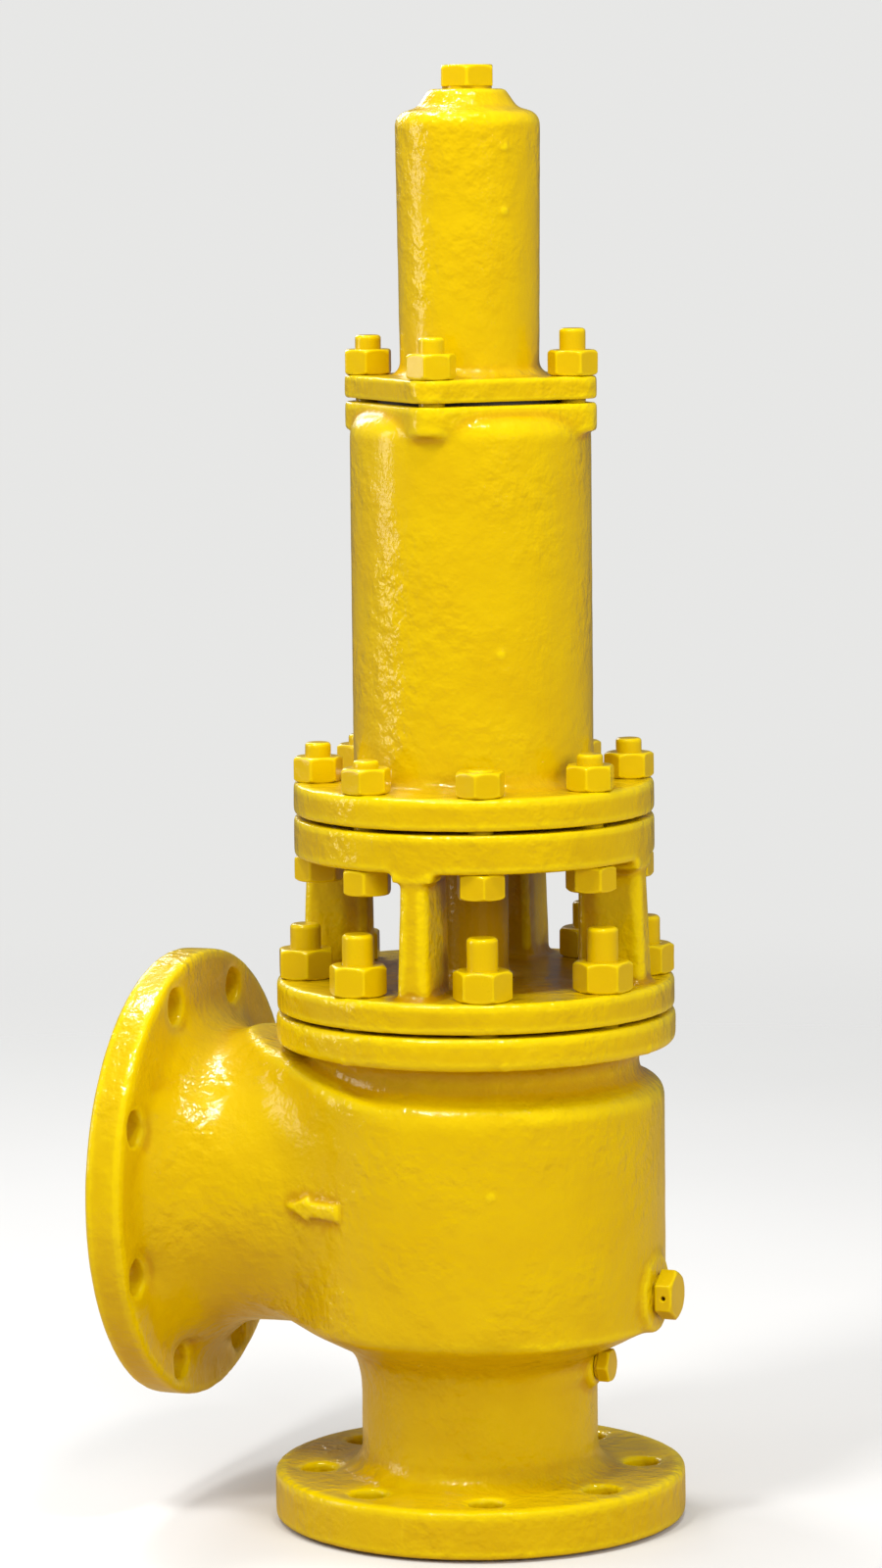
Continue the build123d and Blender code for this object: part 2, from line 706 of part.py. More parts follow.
def make_bonnet():
    """Closed spring bonnet with a round foot and a square head."""
    head_foot = bonnet_top_level - bonnet_head_thickness
    shoulder = bonnet_top_level - bonnet_shoulder_drop
    inner = bonnet_radius - bonnet_wall
    shell = turned(
        (0, bonnet_foot_level),
        (bonnet_foot_radius, bonnet_foot_level, 1.5),
        (bonnet_foot_radius, bonnet_flange_level, 2),
        (bonnet_radius, bonnet_flange_level, bonnet_foot_fillet),
        (bonnet_radius, shoulder, bonnet_shoulder_round),
        (0, shoulder),
    )
    solid = shell + square_plate(head_foot, bonnet_head_thickness)
    solid -= turned(
        (0, bonnet_foot_level - 1),
        (inner, bonnet_foot_level - 1),
        (inner, bonnet_roof_level - 10, 8),
        (adjusting_screw_radius * 1.6, bonnet_roof_level),
        (0, bonnet_roof_level),
    )
    solid -= disc_of(adjusting_screw_radius + thread_gap, bonnet_roof_level - 1, bonnet_top_level + 1)
    solid -= holes(bonnet_stud_radius + slip_gap * 4, bonnet_stud_circle_radius, bonnet_stud_count,
                   180.0 / bonnet_stud_count, bonnet_foot_level - 1, bonnet_flange_level + 1)
    solid -= holes(bonnet_spot_face_radius, bonnet_stud_circle_radius, bonnet_stud_count,
                   180.0 / bonnet_stud_count, bonnet_flange_level, bonnet_flange_level + bonnet_foot_fillet)
    solid -= holes(cap_stud_radius + thread_gap, cap_stud_circle_radius, cap_stud_count,
                   0, bonnet_top_level - cap_stud_depth, bonnet_top_level + 1)
    return solid


def make_spindle():
    """Spindle from the disc holder to inside the cap, with a collar for the lower spring washer."""
    collar_foot = lower_washer_level - spindle_collar_height
    solid = turned(
        (0, spindle_foot_level),
        (spindle_radius - 4, spindle_foot_level),
        (spindle_radius, spindle_foot_level + 4),
        (spindle_radius, collar_foot),
        (spindle_collar_radius, collar_foot),
        (spindle_collar_radius, lower_washer_level),
        (spindle_radius, lower_washer_level),
        (spindle_radius, spindle_top_level - 2),
        (spindle_radius - 2, spindle_top_level),
        (0, spindle_top_level),
    )
    return solid - spindle_pin_shape(spindle_pin_radius + running_gap, holder_stem_radius * 3)


def spring_washer(foot, lip_on_top):
    """Washer that carries one end of the spring and centres it with a lip."""
    outer = spring_mean_radius + spring_wire_radius + 1
    lip = spring_mean_radius - spring_wire_radius - 1
    bore = spindle_radius + slip_gap
    plate = tube_of(outer, bore, foot, foot + washer_thickness)
    lip_foot = foot + washer_thickness if lip_on_top else foot - washer_lip_height
    return plate + tube_of(lip, bore, lip_foot, lip_foot + washer_lip_height)


def make_lower_spring_washer():
    """Washer that sits on the spindle's collar."""
    return spring_washer(lower_washer_level, True)


def make_upper_spring_washer():
    """Washer that the adjusting screw presses on."""
    return spring_washer(upper_washer_level, False)


def make_spring():
    """Coil spring of round wire between the two washers."""
    coil_foot = spring_foot_level + spring_wire_radius
    coil_height = upper_washer_level - spring_foot_level - 2 * spring_wire_radius
    path = Helix(pitch=coil_height / spring_turns, height=coil_height, radius=spring_mean_radius)
    section = Plane(origin=path @ 0, z_dir=path % 0) * Circle(spring_wire_radius)
    return Pos(0, 0, coil_foot) * sweep(section, path=path, is_frenet=True)


def make_adjusting_screw():
    """Hollow screw that sets the spring, with a square to turn it by."""
    foot = upper_washer_level + washer_thickness
    drive_foot = adjusting_screw_top - adjusting_screw_drive_height
    thread = disc_of(adjusting_screw_radius, foot, drive_foot)
    drive = Pos(0, 0, drive_foot) * extrude(
        RectangleRounded(adjusting_screw_flats, adjusting_screw_flats, 2), adjusting_screw_drive_height)
    return thread + drive - disc_of(spindle_radius + running_gap, foot - 1, adjusting_screw_top + 1)


def make_lock_nut():
    """Nut that locks the adjusting screw on the bonnet's roof."""
    return Pos(0, 0, lock_nut_level) * nut(lock_nut_flats, lock_nut_height, adjusting_screw_radius, 12)


def make_cap_gasket():
    """Flat gasket between bonnet and cap."""
    outer = cap_stud_circle_radius - cap_stud_radius - 2
    return tube_of(outer, lock_nut_flats / math.sqrt(3) + 1.5, bonnet_top_level, cap_foot_level)


def make_cap():
    """Closed cap with a square foot and a threaded boss on top."""
    shoulder = cap_boss_level - cap_shoulder_drop + cap_shoulder_round
    shell = turned(
        (0, cap_foot_level),
        (cap_lower_radius, cap_foot_level),
        (cap_lower_radius + 0.05, cap_flange_level + 0.5),
        (cap_upper_radius, shoulder, cap_shoulder_round),
        (cap_boss_radius + 1, cap_boss_level, 3),
        (cap_boss_top_radius, cap_top_level, 2),
        (0, cap_top_level),
    )
    root = turned(
        (0, cap_flange_level - 1),
        (cap_lower_radius + cap_foot_fillet, cap_flange_level - 1),
        (cap_lower_radius + cap_foot_fillet, cap_flange_level),
        (cap_lower_radius, cap_flange_level + cap_foot_fillet),
        (0, cap_flange_level + cap_foot_fillet),
    )
    solid = shell + root + square_plate(cap_foot_level, cap_foot_thickness)
    roof = cap_boss_level - cap_roof_thickness
    solid -= turned(
        (0, cap_foot_level - 1),
        (cap_bore_radius, cap_foot_level - 1),
        (cap_bore_radius, roof, 8),
        (0, roof),
    )
    solid -= disc_of(plug_thread_radius + thread_gap, roof - 1, cap_top_level + 1)
    solid -= holes(cap_stud_radius + slip_gap * 4, cap_stud_circle_radius, cap_stud_count,
                   0, cap_foot_level - 1, cap_flange_level + 1)
    return solid


def cap_stud_at(number):
    """Stud from the bonnet's head up through the cap's foot and its nut."""
    foot = bonnet_top_level - cap_stud_depth
    top = cap_flange_level + cap_nut_height + cap_stud_stands[number % len(cap_stud_stands)]
    return Pos(0, 0, foot) * stud(cap_stud_radius, top - foot)


def make_cap_studs():
    """Studs screwed into the bonnet's head."""
    return spread(cap_stud_at, cap_stud_count, cap_stud_circle_radius, 0)


def make_cap_nuts():
    """Nuts on the cap's foot."""
    def nut_at(number):
        return Pos(0, 0, cap_flange_level) * nut(
            cap_nut_flats, cap_nut_height, cap_stud_radius, 19 * number + 8)
    return spread(nut_at, cap_stud_count, cap_stud_circle_radius, 0)


def make_cap_plug():
    """Hexagon-headed plug in the cap's boss, over the spindle."""
    head_foot = cap_top_level + seal_ring_thickness
    head = Pos(0, 0, head_foot) * chamfered_hexagon(
        plug_head_flats, plug_head_height, False, plug_head_turn)
    return head + disc_of(plug_thread_radius, cap_top_level - plug_thread_length, head_foot)


def make_cap_plug_gasket():
    """Soft ring under the cap plug's head."""
    return tube_of(plug_thread_radius + seal_ring_width * 0.75, plug_thread_radius + slip_gap,
                   cap_top_level, cap_top_level + seal_ring_thickness)


makers = {
    "body": make_body,
    "nozzle": make_nozzle,
    "nozzle_ring": make_nozzle_ring,
    "ring_set_screw": make_ring_set_screw,
    "set_screw_gasket": make_set_screw_gasket,
    "drain_plug": make_drain_plug,
    "drain_plug_gasket": make_drain_plug_gasket,
    "disc": make_disc,
    "disc_clip": make_disc_clip,
    "disc_holder": make_disc_holder,
    "spindle_pin": make_spindle_pin,
    "guide": make_guide,
    "lantern_gasket": make_lantern_gasket,
    "lantern": make_lantern,
    "spindle_bush": make_spindle_bush,
    "lantern_studs": make_lantern_studs,
    "lantern_nuts": make_lantern_nuts,
    "bonnet_gasket": make_bonnet_gasket,
    "bonnet": make_bonnet,
    "bonnet_studs": make_bonnet_studs,
    "bonnet_upper_nuts": make_bonnet_upper_nuts,
    "bonnet_lower_nuts": make_bonnet_lower_nuts,
    "spindle": make_spindle,
    "lower_spring_washer": make_lower_spring_washer,
    "spring": make_spring,
    "upper_spring_washer": make_upper_spring_washer,
    "adjusting_screw": make_adjusting_screw,
    "lock_nut": make_lock_nut,
    "cap_gasket": make_cap_gasket,
    "cap": make_cap,
    "cap_studs": make_cap_studs,
    "cap_nuts": make_cap_nuts,
    "cap_plug": make_cap_plug,
    "cap_plug_gasket": make_cap_plug_gasket,
}

os.makedirs("parts", exist_ok=True)
for node, make in makers.items():
    export_step(make(), f"parts/{node}.step")
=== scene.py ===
"""Dresses a flanged spring safety valve in brushed-on yellow enamel, around its CAD model.

Lengths are in metres, in the CAD's own frame: +Z runs up the spindle and the outlet points
along -X.
"""

import json
import logging
import math
from dataclasses import dataclass
from enum import Enum, IntEnum
from typing import Callable, Iterable

import bmesh
import bpy
import numpy as np
from mathutils import Matrix, Vector, noise
from mathutils.bvhtree import BVHTree
from mathutils.kdtree import KDTree

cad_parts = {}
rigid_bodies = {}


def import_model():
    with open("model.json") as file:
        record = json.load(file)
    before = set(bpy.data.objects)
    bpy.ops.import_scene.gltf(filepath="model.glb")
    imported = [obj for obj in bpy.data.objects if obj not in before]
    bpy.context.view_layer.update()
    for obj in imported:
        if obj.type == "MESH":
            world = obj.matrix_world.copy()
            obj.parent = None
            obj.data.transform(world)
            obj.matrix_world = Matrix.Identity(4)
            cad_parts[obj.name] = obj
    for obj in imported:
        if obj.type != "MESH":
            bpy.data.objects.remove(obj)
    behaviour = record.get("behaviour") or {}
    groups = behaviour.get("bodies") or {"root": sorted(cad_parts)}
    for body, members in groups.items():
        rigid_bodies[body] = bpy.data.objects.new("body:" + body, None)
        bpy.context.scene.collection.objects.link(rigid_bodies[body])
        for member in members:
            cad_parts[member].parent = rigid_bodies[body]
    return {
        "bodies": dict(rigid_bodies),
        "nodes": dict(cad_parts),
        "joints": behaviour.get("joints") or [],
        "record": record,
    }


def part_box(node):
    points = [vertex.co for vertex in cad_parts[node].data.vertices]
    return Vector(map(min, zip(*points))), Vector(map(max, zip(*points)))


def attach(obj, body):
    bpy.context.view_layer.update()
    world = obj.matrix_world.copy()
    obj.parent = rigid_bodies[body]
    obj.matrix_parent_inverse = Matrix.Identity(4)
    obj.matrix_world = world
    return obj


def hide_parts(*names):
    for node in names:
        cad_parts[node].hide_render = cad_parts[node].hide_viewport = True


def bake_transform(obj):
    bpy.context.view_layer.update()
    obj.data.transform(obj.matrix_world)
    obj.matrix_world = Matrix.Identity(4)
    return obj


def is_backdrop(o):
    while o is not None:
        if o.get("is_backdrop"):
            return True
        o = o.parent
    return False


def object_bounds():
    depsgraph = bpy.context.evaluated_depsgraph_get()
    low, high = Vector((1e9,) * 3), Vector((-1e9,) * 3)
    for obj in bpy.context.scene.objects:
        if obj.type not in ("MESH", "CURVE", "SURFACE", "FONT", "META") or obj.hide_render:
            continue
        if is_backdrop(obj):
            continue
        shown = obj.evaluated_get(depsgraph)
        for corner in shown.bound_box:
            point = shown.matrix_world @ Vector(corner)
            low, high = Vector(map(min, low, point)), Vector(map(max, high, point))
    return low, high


log = logging.getLogger("safety_valve")

Colour = tuple[float, float, float, float]
Place = tuple[float, float, float]
Nodes = dict[str, bpy.types.Object]
Share = Callable[[np.ndarray], np.ndarray]

MM = 0.001
RELIEF = "relief"
MID_NOISE = (0.3, 0.7)
MOST_OF_NOISE = (0.2, 0.8)


class Slot(Enum):
    """Material slots of the record."""

    CASTING = "casting_enamel"
    FASTENER = "fastener_enamel"
    TRIM = "stainless_trim"
    TURNED = "turned_steel"
    SPRING = "spring_enamel"
    BRONZE = "bush_bronze"
    GASKET = "gasket_sheet"


class Axis(Enum):
    """Axes that turning marks run round."""

    SPINDLE = 2
    OUTLET = 0


class Wall(IntEnum):
    """Material numbers of the body casting's faces."""

    PAINTED = 0
    BARE = 1
    MACHINED = 2


# Shader drawing


class Sheet:
    """A node tree that is being drawn."""

    def __init__(self, tree: bpy.types.NodeTree) -> None:
        """Starts from an empty tree.

        Args:
            tree: the tree of a material, a world or a group.
        """
        tree.nodes.clear()
        self.tree = tree

    def node(self, kind: str, inputs: dict | None = None, **settings: object) -> bpy.types.Node:
        """Adds a node, sets it and feeds it.

        Args:
            kind: Blender's type name of the node.
            inputs: what each input gets, a number, a colour or another node's socket.
            settings: properties of the node itself.

        Returns:
            The new node.
        """
        made = self.tree.nodes.new(kind)
        for name, value in settings.items():
            setattr(made, name, value)
        for name, value in (inputs or {}).items():
            if isinstance(value, bpy.types.NodeSocket):
                self.tree.links.new(value, made.inputs[name])
            else:
                made.inputs[name].default_value = value
        return made

    def maths(self, operation: str, first: object, second: object = 0.0) -> bpy.types.NodeSocket:
        """Joins two values with an operation and returns the result's socket."""
        return self.node("ShaderNodeMath", {0: first, 1: second}, operation=operation).outputs[0]

    def spread(self, value: object, low: float, high: float, to_low: float = 0.0,
               to_high: float = 1.0) -> bpy.types.NodeSocket:
        """Maps a value's range to another range, clamped, and returns the result's socket."""
        inputs = {"Value": value, "From Min": low, "From Max": high, "To Min": to_low,
                  "To Max": to_high}
        return self.node("ShaderNodeMapRange", inputs).outputs["Result"]

    def blend(self, share: object, first: object, second: object) -> bpy.types.NodeSocket:
        """Mixes two colours and returns the result's socket."""
        inputs = {0: share, 6: first, 7: second}
        return self.node("ShaderNodeMix", inputs, data_type="RGBA").outputs[2]

    def noise(self, place: object, size: float, detail: float = 3.0,
              rough: float = 0.55) -> bpy.types.NodeSocket:
        """Draws noise whose blots are about one size across and returns its value's socket."""
        inputs = {"Vector": place, "Scale": 1.0 / size, "Detail": detail, "Roughness": rough}
        return self.node("ShaderNodeTexNoise", inputs).outputs["Fac"]

    def here(self) -> bpy.types.NodeSocket:
        """Returns the socket of the place on the object."""
        return self.node("ShaderNodeTexCoord").outputs["Object"]


@dataclass(frozen=True)
class Port:
    """A named input or output of a shader group."""

    name: str
    kind: str = "NodeSocketFloat"
    value: object = None


def new_group(name: str, inputs: Iterable[Port],
              outputs: Iterable[Port]) -> tuple[Sheet, dict, bpy.types.Node]:
    """Starts a shader group with its sockets.

    Args:
        name: the group's name.
        inputs: its inputs.
        outputs: its outputs.

    Returns:
        The sheet to draw on, the inner sockets of the inputs by name, and the group's output node.
    """
    tree = bpy.data.node_groups.new(name, "ShaderNodeTree")
    for side, ports in (("INPUT", inputs), ("OUTPUT", outputs)):
        for port in ports:
            made = tree.interface.new_socket(port.name, in_out=side, socket_type=port.kind)
            if port.value is not None:
                made.default_value = port.value
    sheet = Sheet(tree)
    source = sheet.node("NodeGroupInput")
    inner = {port.name: source.outputs[port.name] for port in inputs}
    return sheet, inner, sheet.node("NodeGroupOutput")


class Groups:
    """Shader groups that several finishes share, each drawn once."""

    def __init__(self) -> None:
        """Draws every group."""
        self.relief = self._relief()
        self.skin = self._skin()
        self.marks = {axis: self._turning_marks(axis) for axis in Axis}

    @staticmethod
    def _relief() -> bpy.types.NodeTree:
        """Draws the masks of hollows and of edges from what the mesh stores at its points.

        Returns:
            A group with Hollow and Edge, each from 0 to 1 with a broken border.
        """
        sheet, inner, out = new_group(
            "relief_masks",
            [Port("Hollow from", value=0.05), Port("Hollow full", value=0.6),
             Port("Edge from", value=0.1), Port("Edge full", value=0.7),
             Port("Ragged", value=0.25)],
            [Port("Hollow"), Port("Edge")],
        )
        stored = sheet.node("ShaderNodeAttribute", attribute_name=RELIEF).outputs["Fac"]
        noise_about_zero = sheet.maths("SUBTRACT", sheet.noise(sheet.here(), 6 * MM, 4), 0.5)
        ragged = sheet.maths("MULTIPLY", noise_about_zero, inner["Ragged"])
        for name, value in (("Hollow", stored), ("Edge", sheet.maths("MULTIPLY", stored, -1.0))):
            inputs = {"Value": sheet.maths("ADD", value, ragged),
                      "From Min": inner[f"{name} from"], "From Max": inner[f"{name} full"]}
            mask = sheet.node("ShaderNodeMapRange", inputs, interpolation_type="SMOOTHSTEP")
            sheet.tree.links.new(mask.outputs["Result"], out.inputs[name])
        return sheet.tree

    @staticmethod
    def _skin() -> bpy.types.NodeTree:
        """Draws the height of a rough casting under brushed paint.

        Returns:
            A group with Height in metres and a Mottle value from 0 to 1.
        """
        sheet, inner, out = new_group(
            "painted_skin",
            [Port("Lump depth", value=0.3 * MM), Port("Grain depth", value=0.06 * MM),
             Port("Peel depth", value=0.012 * MM), Port("Stroke depth", value=0.0)],
            [Port("Height"), Port("Mottle")],
        )
        place = sheet.here()
        patches = sheet.spread(sheet.noise(place, 55 * MM, 2.0, 0.5), 0.4, 0.62, 0.25, 1.0)
        lumps = sheet.maths("MULTIPLY", sheet.noise(place, 8 * MM, 2.0, 0.5), patches)
        drawn_out = {"Vector": place, "Scale": (1.0, 1.0, 0.09)}
        upright = sheet.node("ShaderNodeMapping", drawn_out).outputs[0]
        layers = {
            "Grain depth": sheet.noise(place, 2.4 * MM, 3.0, 0.55),
            "Peel depth": sheet.noise(place, 0.9 * MM, 1.0, 0.5),
            "Stroke depth": sheet.noise(upright, 3.2 * MM, 2.0, 0.5),
        }
        height = sheet.maths("MULTIPLY", lumps, inner["Lump depth"])
        for depth, layer in layers.items():
            height = sheet.maths("ADD", height, sheet.maths("MULTIPLY", layer, inner[depth]))
        sheet.tree.links.new(height, out.inputs["Height"])
        sheet.tree.links.new(sheet.noise(place, 45 * MM, 5.0, 0.6), out.inputs["Mottle"])
        return sheet.tree

    @staticmethod
    def _turning_marks(axis: Axis) -> bpy.types.NodeTree:
        """Draws the fine rings that a lathe leaves round an axis.

        Args:
            axis: the axis of the lathe.

        Returns:
            A group with Height in metres and a Streak value from 0 to 1.
        """
        sheet, inner, out = new_group(
            f"turning_marks_{axis.name.lower()}",
            [Port("Depth", value=0.004 * MM), Port("Centre height", value=0.0)],
            [Port("Height"), Port("Streak")],
        )
        split = sheet.node("ShaderNodeSeparateXYZ", {0: sheet.here()})
        if axis is Axis.SPINDLE:
            across, along = (split.outputs["X"], split.outputs["Y"]), split.outputs["Z"]
        else:
            level = sheet.maths("SUBTRACT", split.outputs["Z"], inner["Centre height"])
            across, along = (split.outputs["Y"], level), split.outputs["X"]
        squares = [sheet.maths("MULTIPLY", value, value) for value in across]
        radius = sheet.maths("SQRT", sheet.maths("ADD", *squares))
        rings = sheet.node("ShaderNodeCombineXYZ", {"X": radius, "Y": along}).outputs[0]
        fine = sheet.noise(rings, 0.35 * MM, 3.0, 0.7)
        sheet.tree.links.new(sheet.maths("MULTIPLY", fine, inner["Depth"]), out.inputs["Height"])
        sheet.tree.links.new(sheet.noise(rings, 1.6 * MM, 3.0, 0.6), out.inputs["Streak"])
        return sheet.tree


class Finish:
    """A finish that can be drawn as a material."""

    name: str

    def draw(self, sheet: Sheet, groups: Groups, shader: bpy.types.Node) -> None:
        """Draws the finish onto its shader."""
        raise NotImplementedError

    def material(self, groups: Groups) -> bpy.types.Material:
        """Makes the finish's material.

        Args:
            groups: the shared shader groups.

        Returns:
            The new material.
        """
        made = bpy.data.materials.new(self.name)
        made.use_nodes = True
        sheet = Sheet(made.node_tree)
        shader = sheet.node("ShaderNodeBsdfPrincipled")
        sheet.node("ShaderNodeOutputMaterial", {"Surface": shader.outputs[0]})
        self.draw(sheet, groups, shader)
        return made


def use_group(sheet: Sheet, group: bpy.types.NodeTree,
              inputs: dict | None = None) -> bpy.types.Node:
    """Places a shader group on a sheet and returns its node."""
    made = sheet.node("ShaderNodeGroup", node_tree=group)
    for name, value in (inputs or {}).items():
        made.inputs[name].default_value = value
    return made


def set_bump(sheet: Sheet, shader: bpy.types.Node, height: bpy.types.NodeSocket) -> None:
    """Feeds a height in metres to the normals of a shader and its coat."""
    bump = sheet.node("ShaderNodeBump", {"Height": height, "Distance": 1.0, "Strength": 1.0})
    for name in ("Normal", "Coat Normal"):
        sheet.tree.links.new(bump.outputs[0], shader.inputs[name])


@dataclass(frozen=True)
class Enamel(Finish):
    """Glossy enamel put on with a brush over a casting or a screw."""

    name: str
    lit: Colour = (0.67, 0.455, 0.0, 1.0)
    # The pooled colour is deep enamel and also painted shade in hollows; noise mixes it in as
    # well, as random tone.
    pooled_and_shaded: Colour = (0.52, 0.28, 0.0, 1.0)
    # The thin colour is thin enamel and also a painted highlight on edges.
    thin: Colour = (0.82, 0.62, 0.0, 1.0)
    sheen: Colour = (1.0, 0.86, 0.1, 1.0)
    specular: float = 0.45
    roughness: tuple[float, float] = (0.26, 0.4)
    coat: float = 0.65
    coat_roughness: float = 0.08
    lump_depth: float = 2.0 * MM
    grain_depth: float = 0.2 * MM
    peel_depth: float = 0.02 * MM
    stroke_depth: float = 0.1 * MM
    mottle_share: float = 0.3
    pooled_and_shaded_share: float = 0.8
    thin_and_highlight_share: float = 0.6

    def draw(self, sheet: Sheet, groups: Groups, shader: bpy.types.Node) -> None:
        """Draws brushed enamel: darker in hollows, as pooled paint and painted shade, and lighter
        on edges, as thin paint and a painted highlight.
        """
        masks = use_group(sheet, groups.relief)
        skin = use_group(sheet, groups.skin, {
            "Lump depth": self.lump_depth,
            "Grain depth": self.grain_depth,
            "Peel depth": self.peel_depth,
            "Stroke depth": self.stroke_depth,
        })
        mottle = sheet.spread(skin.outputs["Mottle"], *MID_NOISE, 0.0, self.mottle_share)
        colour = sheet.blend(mottle, self.lit, self.pooled_and_shaded)
        # Hollows take the pooled colour: thick paint plus painted shade.
        pooled_and_shaded = sheet.maths("MULTIPLY", masks.outputs["Hollow"], self.pooled_and_shaded_share)
        colour = sheet.blend(pooled_and_shaded, colour, self.pooled_and_shaded)
        # Edges take the thin colour: thin paint plus a painted highlight.
        thin = sheet.maths("MULTIPLY", masks.outputs["Edge"], self.thin_and_highlight_share)
        colour = sheet.blend(thin, colour, self.thin)
        sheet.tree.links.new(colour, shader.inputs["Base Color"])
        rough = sheet.spread(skin.outputs["Mottle"], *MID_NOISE, *self.roughness)
        sheet.tree.links.new(rough, shader.inputs["Roughness"])
        shader.inputs["Specular IOR Level"].default_value = self.specular
        shader.inputs["Specular Tint"].default_value = self.sheen
        shader.inputs["Coat Weight"].default_value = self.coat
        shader.inputs["Coat Roughness"].default_value = self.coat_roughness
        set_bump(sheet, shader, skin.outputs["Height"])


@dataclass(frozen=True)
class TurnedMetal(Finish):
    """Metal left bright from the lathe, with a little grime."""

    name: str
    bright: Colour = (0.62, 0.6, 0.57, 1.0)
    dull: Colour = (0.4, 0.38, 0.35, 1.0)
    roughness: tuple[float, float] = (0.22, 0.42)
    axis: Axis = Axis.SPINDLE
    centre_height: float = 0.0
    mark_depth: float = 0.004 * MM

    def draw(self, sheet: Sheet, groups: Groups, shader: bpy.types.Node) -> None:
        """Draws turned metal with rings round its axis."""
        turning = {"Depth": self.mark_depth, "Centre height": self.centre_height}
        marks = use_group(sheet, groups.marks[self.axis], turning)
        stain = sheet.spread(sheet.noise(sheet.here(), 22 * MM, 5.0, 0.65), 0.4, 0.7)
        streak = sheet.spread(marks.outputs["Streak"], *MID_NOISE)
        share = sheet.maths("MULTIPLY", sheet.maths("ADD", stain, streak), 0.5)
        colour = sheet.blend(share, self.bright, self.dull)
        sheet.tree.links.new(colour, shader.inputs["Base Color"])
        rough = sheet.spread(share, 0.0, 1.0, *self.roughness)
        sheet.tree.links.new(rough, shader.inputs["Roughness"])
        shader.inputs["Metallic"].default_value = 1.0
        set_bump(sheet, shader, marks.outputs["Height"])


@dataclass(frozen=True)
class CastMetal(Finish):
    """Bare cast steel inside the body, with a thin grey primer."""

    name: str
    light: Colour = (0.3, 0.29, 0.27, 1.0)
    dark: Colour = (0.14, 0.12, 0.1, 1.0)
    roughness: tuple[float, float] = (0.55, 0.8)
    metallic: float = 0.2
    lump_depth: float = 0.4 * MM
    grain_depth: float = 0.2 * MM
    peel_depth: float = 0.05 * MM

    def draw(self, sheet: Sheet, groups: Groups, shader: bpy.types.Node) -> None:
        """Draws a dull sandy casting."""
        skin = use_group(sheet, groups.skin, {
            "Lump depth": self.lump_depth,
            "Grain depth": self.grain_depth,
            "Peel depth": self.peel_depth,
        })
        share = sheet.spread(skin.outputs["Mottle"], *MID_NOISE)
        colour = sheet.blend(share, self.light, self.dark)
        sheet.tree.links.new(colour, shader.inputs["Base Color"])
        rough = sheet.spread(share, 0.0, 1.0, *self.roughness)
        sheet.tree.links.new(rough, shader.inputs["Roughness"])
        shader.inputs["Metallic"].default_value = self.metallic
        set_bump(sheet, shader, skin.outputs["Height"])


@dataclass(frozen=True)
class GasketSheet(Finish):
    """Graphite sheet cut into rings."""

    name: str
    dark: Colour = (0.028, 0.027, 0.026, 1.0)
    pale: Colour = (0.075, 0.073, 0.07, 1.0)
    roughness: tuple[float, float] = (0.5, 0.8)
    flake_size: float = 1.5 * MM
    flake_depth: float = 0.05 * MM

    def draw(self, sheet: Sheet, groups: Groups, shader: bpy.types.Node) -> None:
        """Draws flaky dark grey sheet."""
        flakes = sheet.noise(sheet.here(), self.flake_size, 5.0, 0.7)
        colour = sheet.blend(flakes, self.dark, self.pale)
        sheet.tree.links.new(colour, shader.inputs["Base Color"])
        rough = sheet.spread(flakes, *MOST_OF_NOISE, *self.roughness)
        sheet.tree.links.new(rough, shader.inputs["Roughness"])
        set_bump(sheet, shader, sheet.maths("MULTIPLY", flakes, self.flake_depth))


@dataclass(frozen=True)
class PaleGround(Finish):
    """Smooth pale floor, which sends little light back up at the valve."""

    name: str
    pale: Colour = (0.78, 0.77, 0.75, 1.0)
    shade: Colour = (0.72, 0.71, 0.69, 1.0)
    sent_back: Colour = (0.46, 0.32, 0.12, 1.0)
    roughness: tuple[float, float] = (0.55, 0.7)
    cloud_size: float = 0.35
    solid_to: float = 0.7
    gone_at: float = 2.6

    def draw(self, sheet: Sheet, groups: Groups, shader: bpy.types.Node) -> None:
        """Draws a faintly clouded pale surface that fades away with distance."""
        place = sheet.here()
        clouds = sheet.noise(place, self.cloud_size, 4.0, 0.5)
        seen = sheet.node("ShaderNodeLightPath").outputs["Is Camera Ray"]
        colour = sheet.blend(seen, self.sent_back, sheet.blend(clouds, self.pale, self.shade))
        sheet.tree.links.new(colour, shader.inputs["Base Color"])
        rough = sheet.spread(clouds, *MID_NOISE, *self.roughness)
        sheet.tree.links.new(rough, shader.inputs["Roughness"])
        away = sheet.node("ShaderNodeVectorMath", {0: place}, operation="LENGTH").outputs["Value"]
        inputs = {"Value": away, "From Min": self.solid_to, "From Max": self.gone_at,
                  "To Min": 1.0, "To Max": 0.0}
        fade = sheet.node("ShaderNodeMapRange", inputs, interpolation_type="SMOOTHSTEP")
        sheet.tree.links.new(fade.outputs["Result"], shader.inputs["Alpha"])


# Mesh making


def keep(name: str, mesh: bpy.types.Mesh) -> bpy.types.Object:
    """Makes an object of a mesh and puts it in the scene."""
    made = bpy.data.objects.new(name, mesh)
    bpy.context.scene.collection.objects.link(made)
    return made


def copy_of(source: bpy.types.Object, name: str) -> bpy.types.Object:
    """Copies a CAD node's mesh into a new object in the same place."""
    mesh = source.data.copy()
    mesh.transform(source.matrix_world)
    mesh.materials.clear()
    return keep(name, mesh)


def join_mesh(target: bpy.types.Object, extras: Iterable[bmesh.types.BMesh]) -> None:
    """Adds closed meshes to an object's mesh, to be fused later by a remesh.

    Args:
        target: the object that gets them.
        extras: the meshes, which are freed.
    """
    whole = bmesh.new()
    whole.from_mesh(target.data)
    for extra in extras:
        piece = bpy.data.meshes.new("extra")
        extra.to_mesh(piece)
        extra.free()
        whole.from_mesh(piece)
        bpy.data.meshes.remove(piece)
    whole.to_mesh(target.data)
    whole.free()


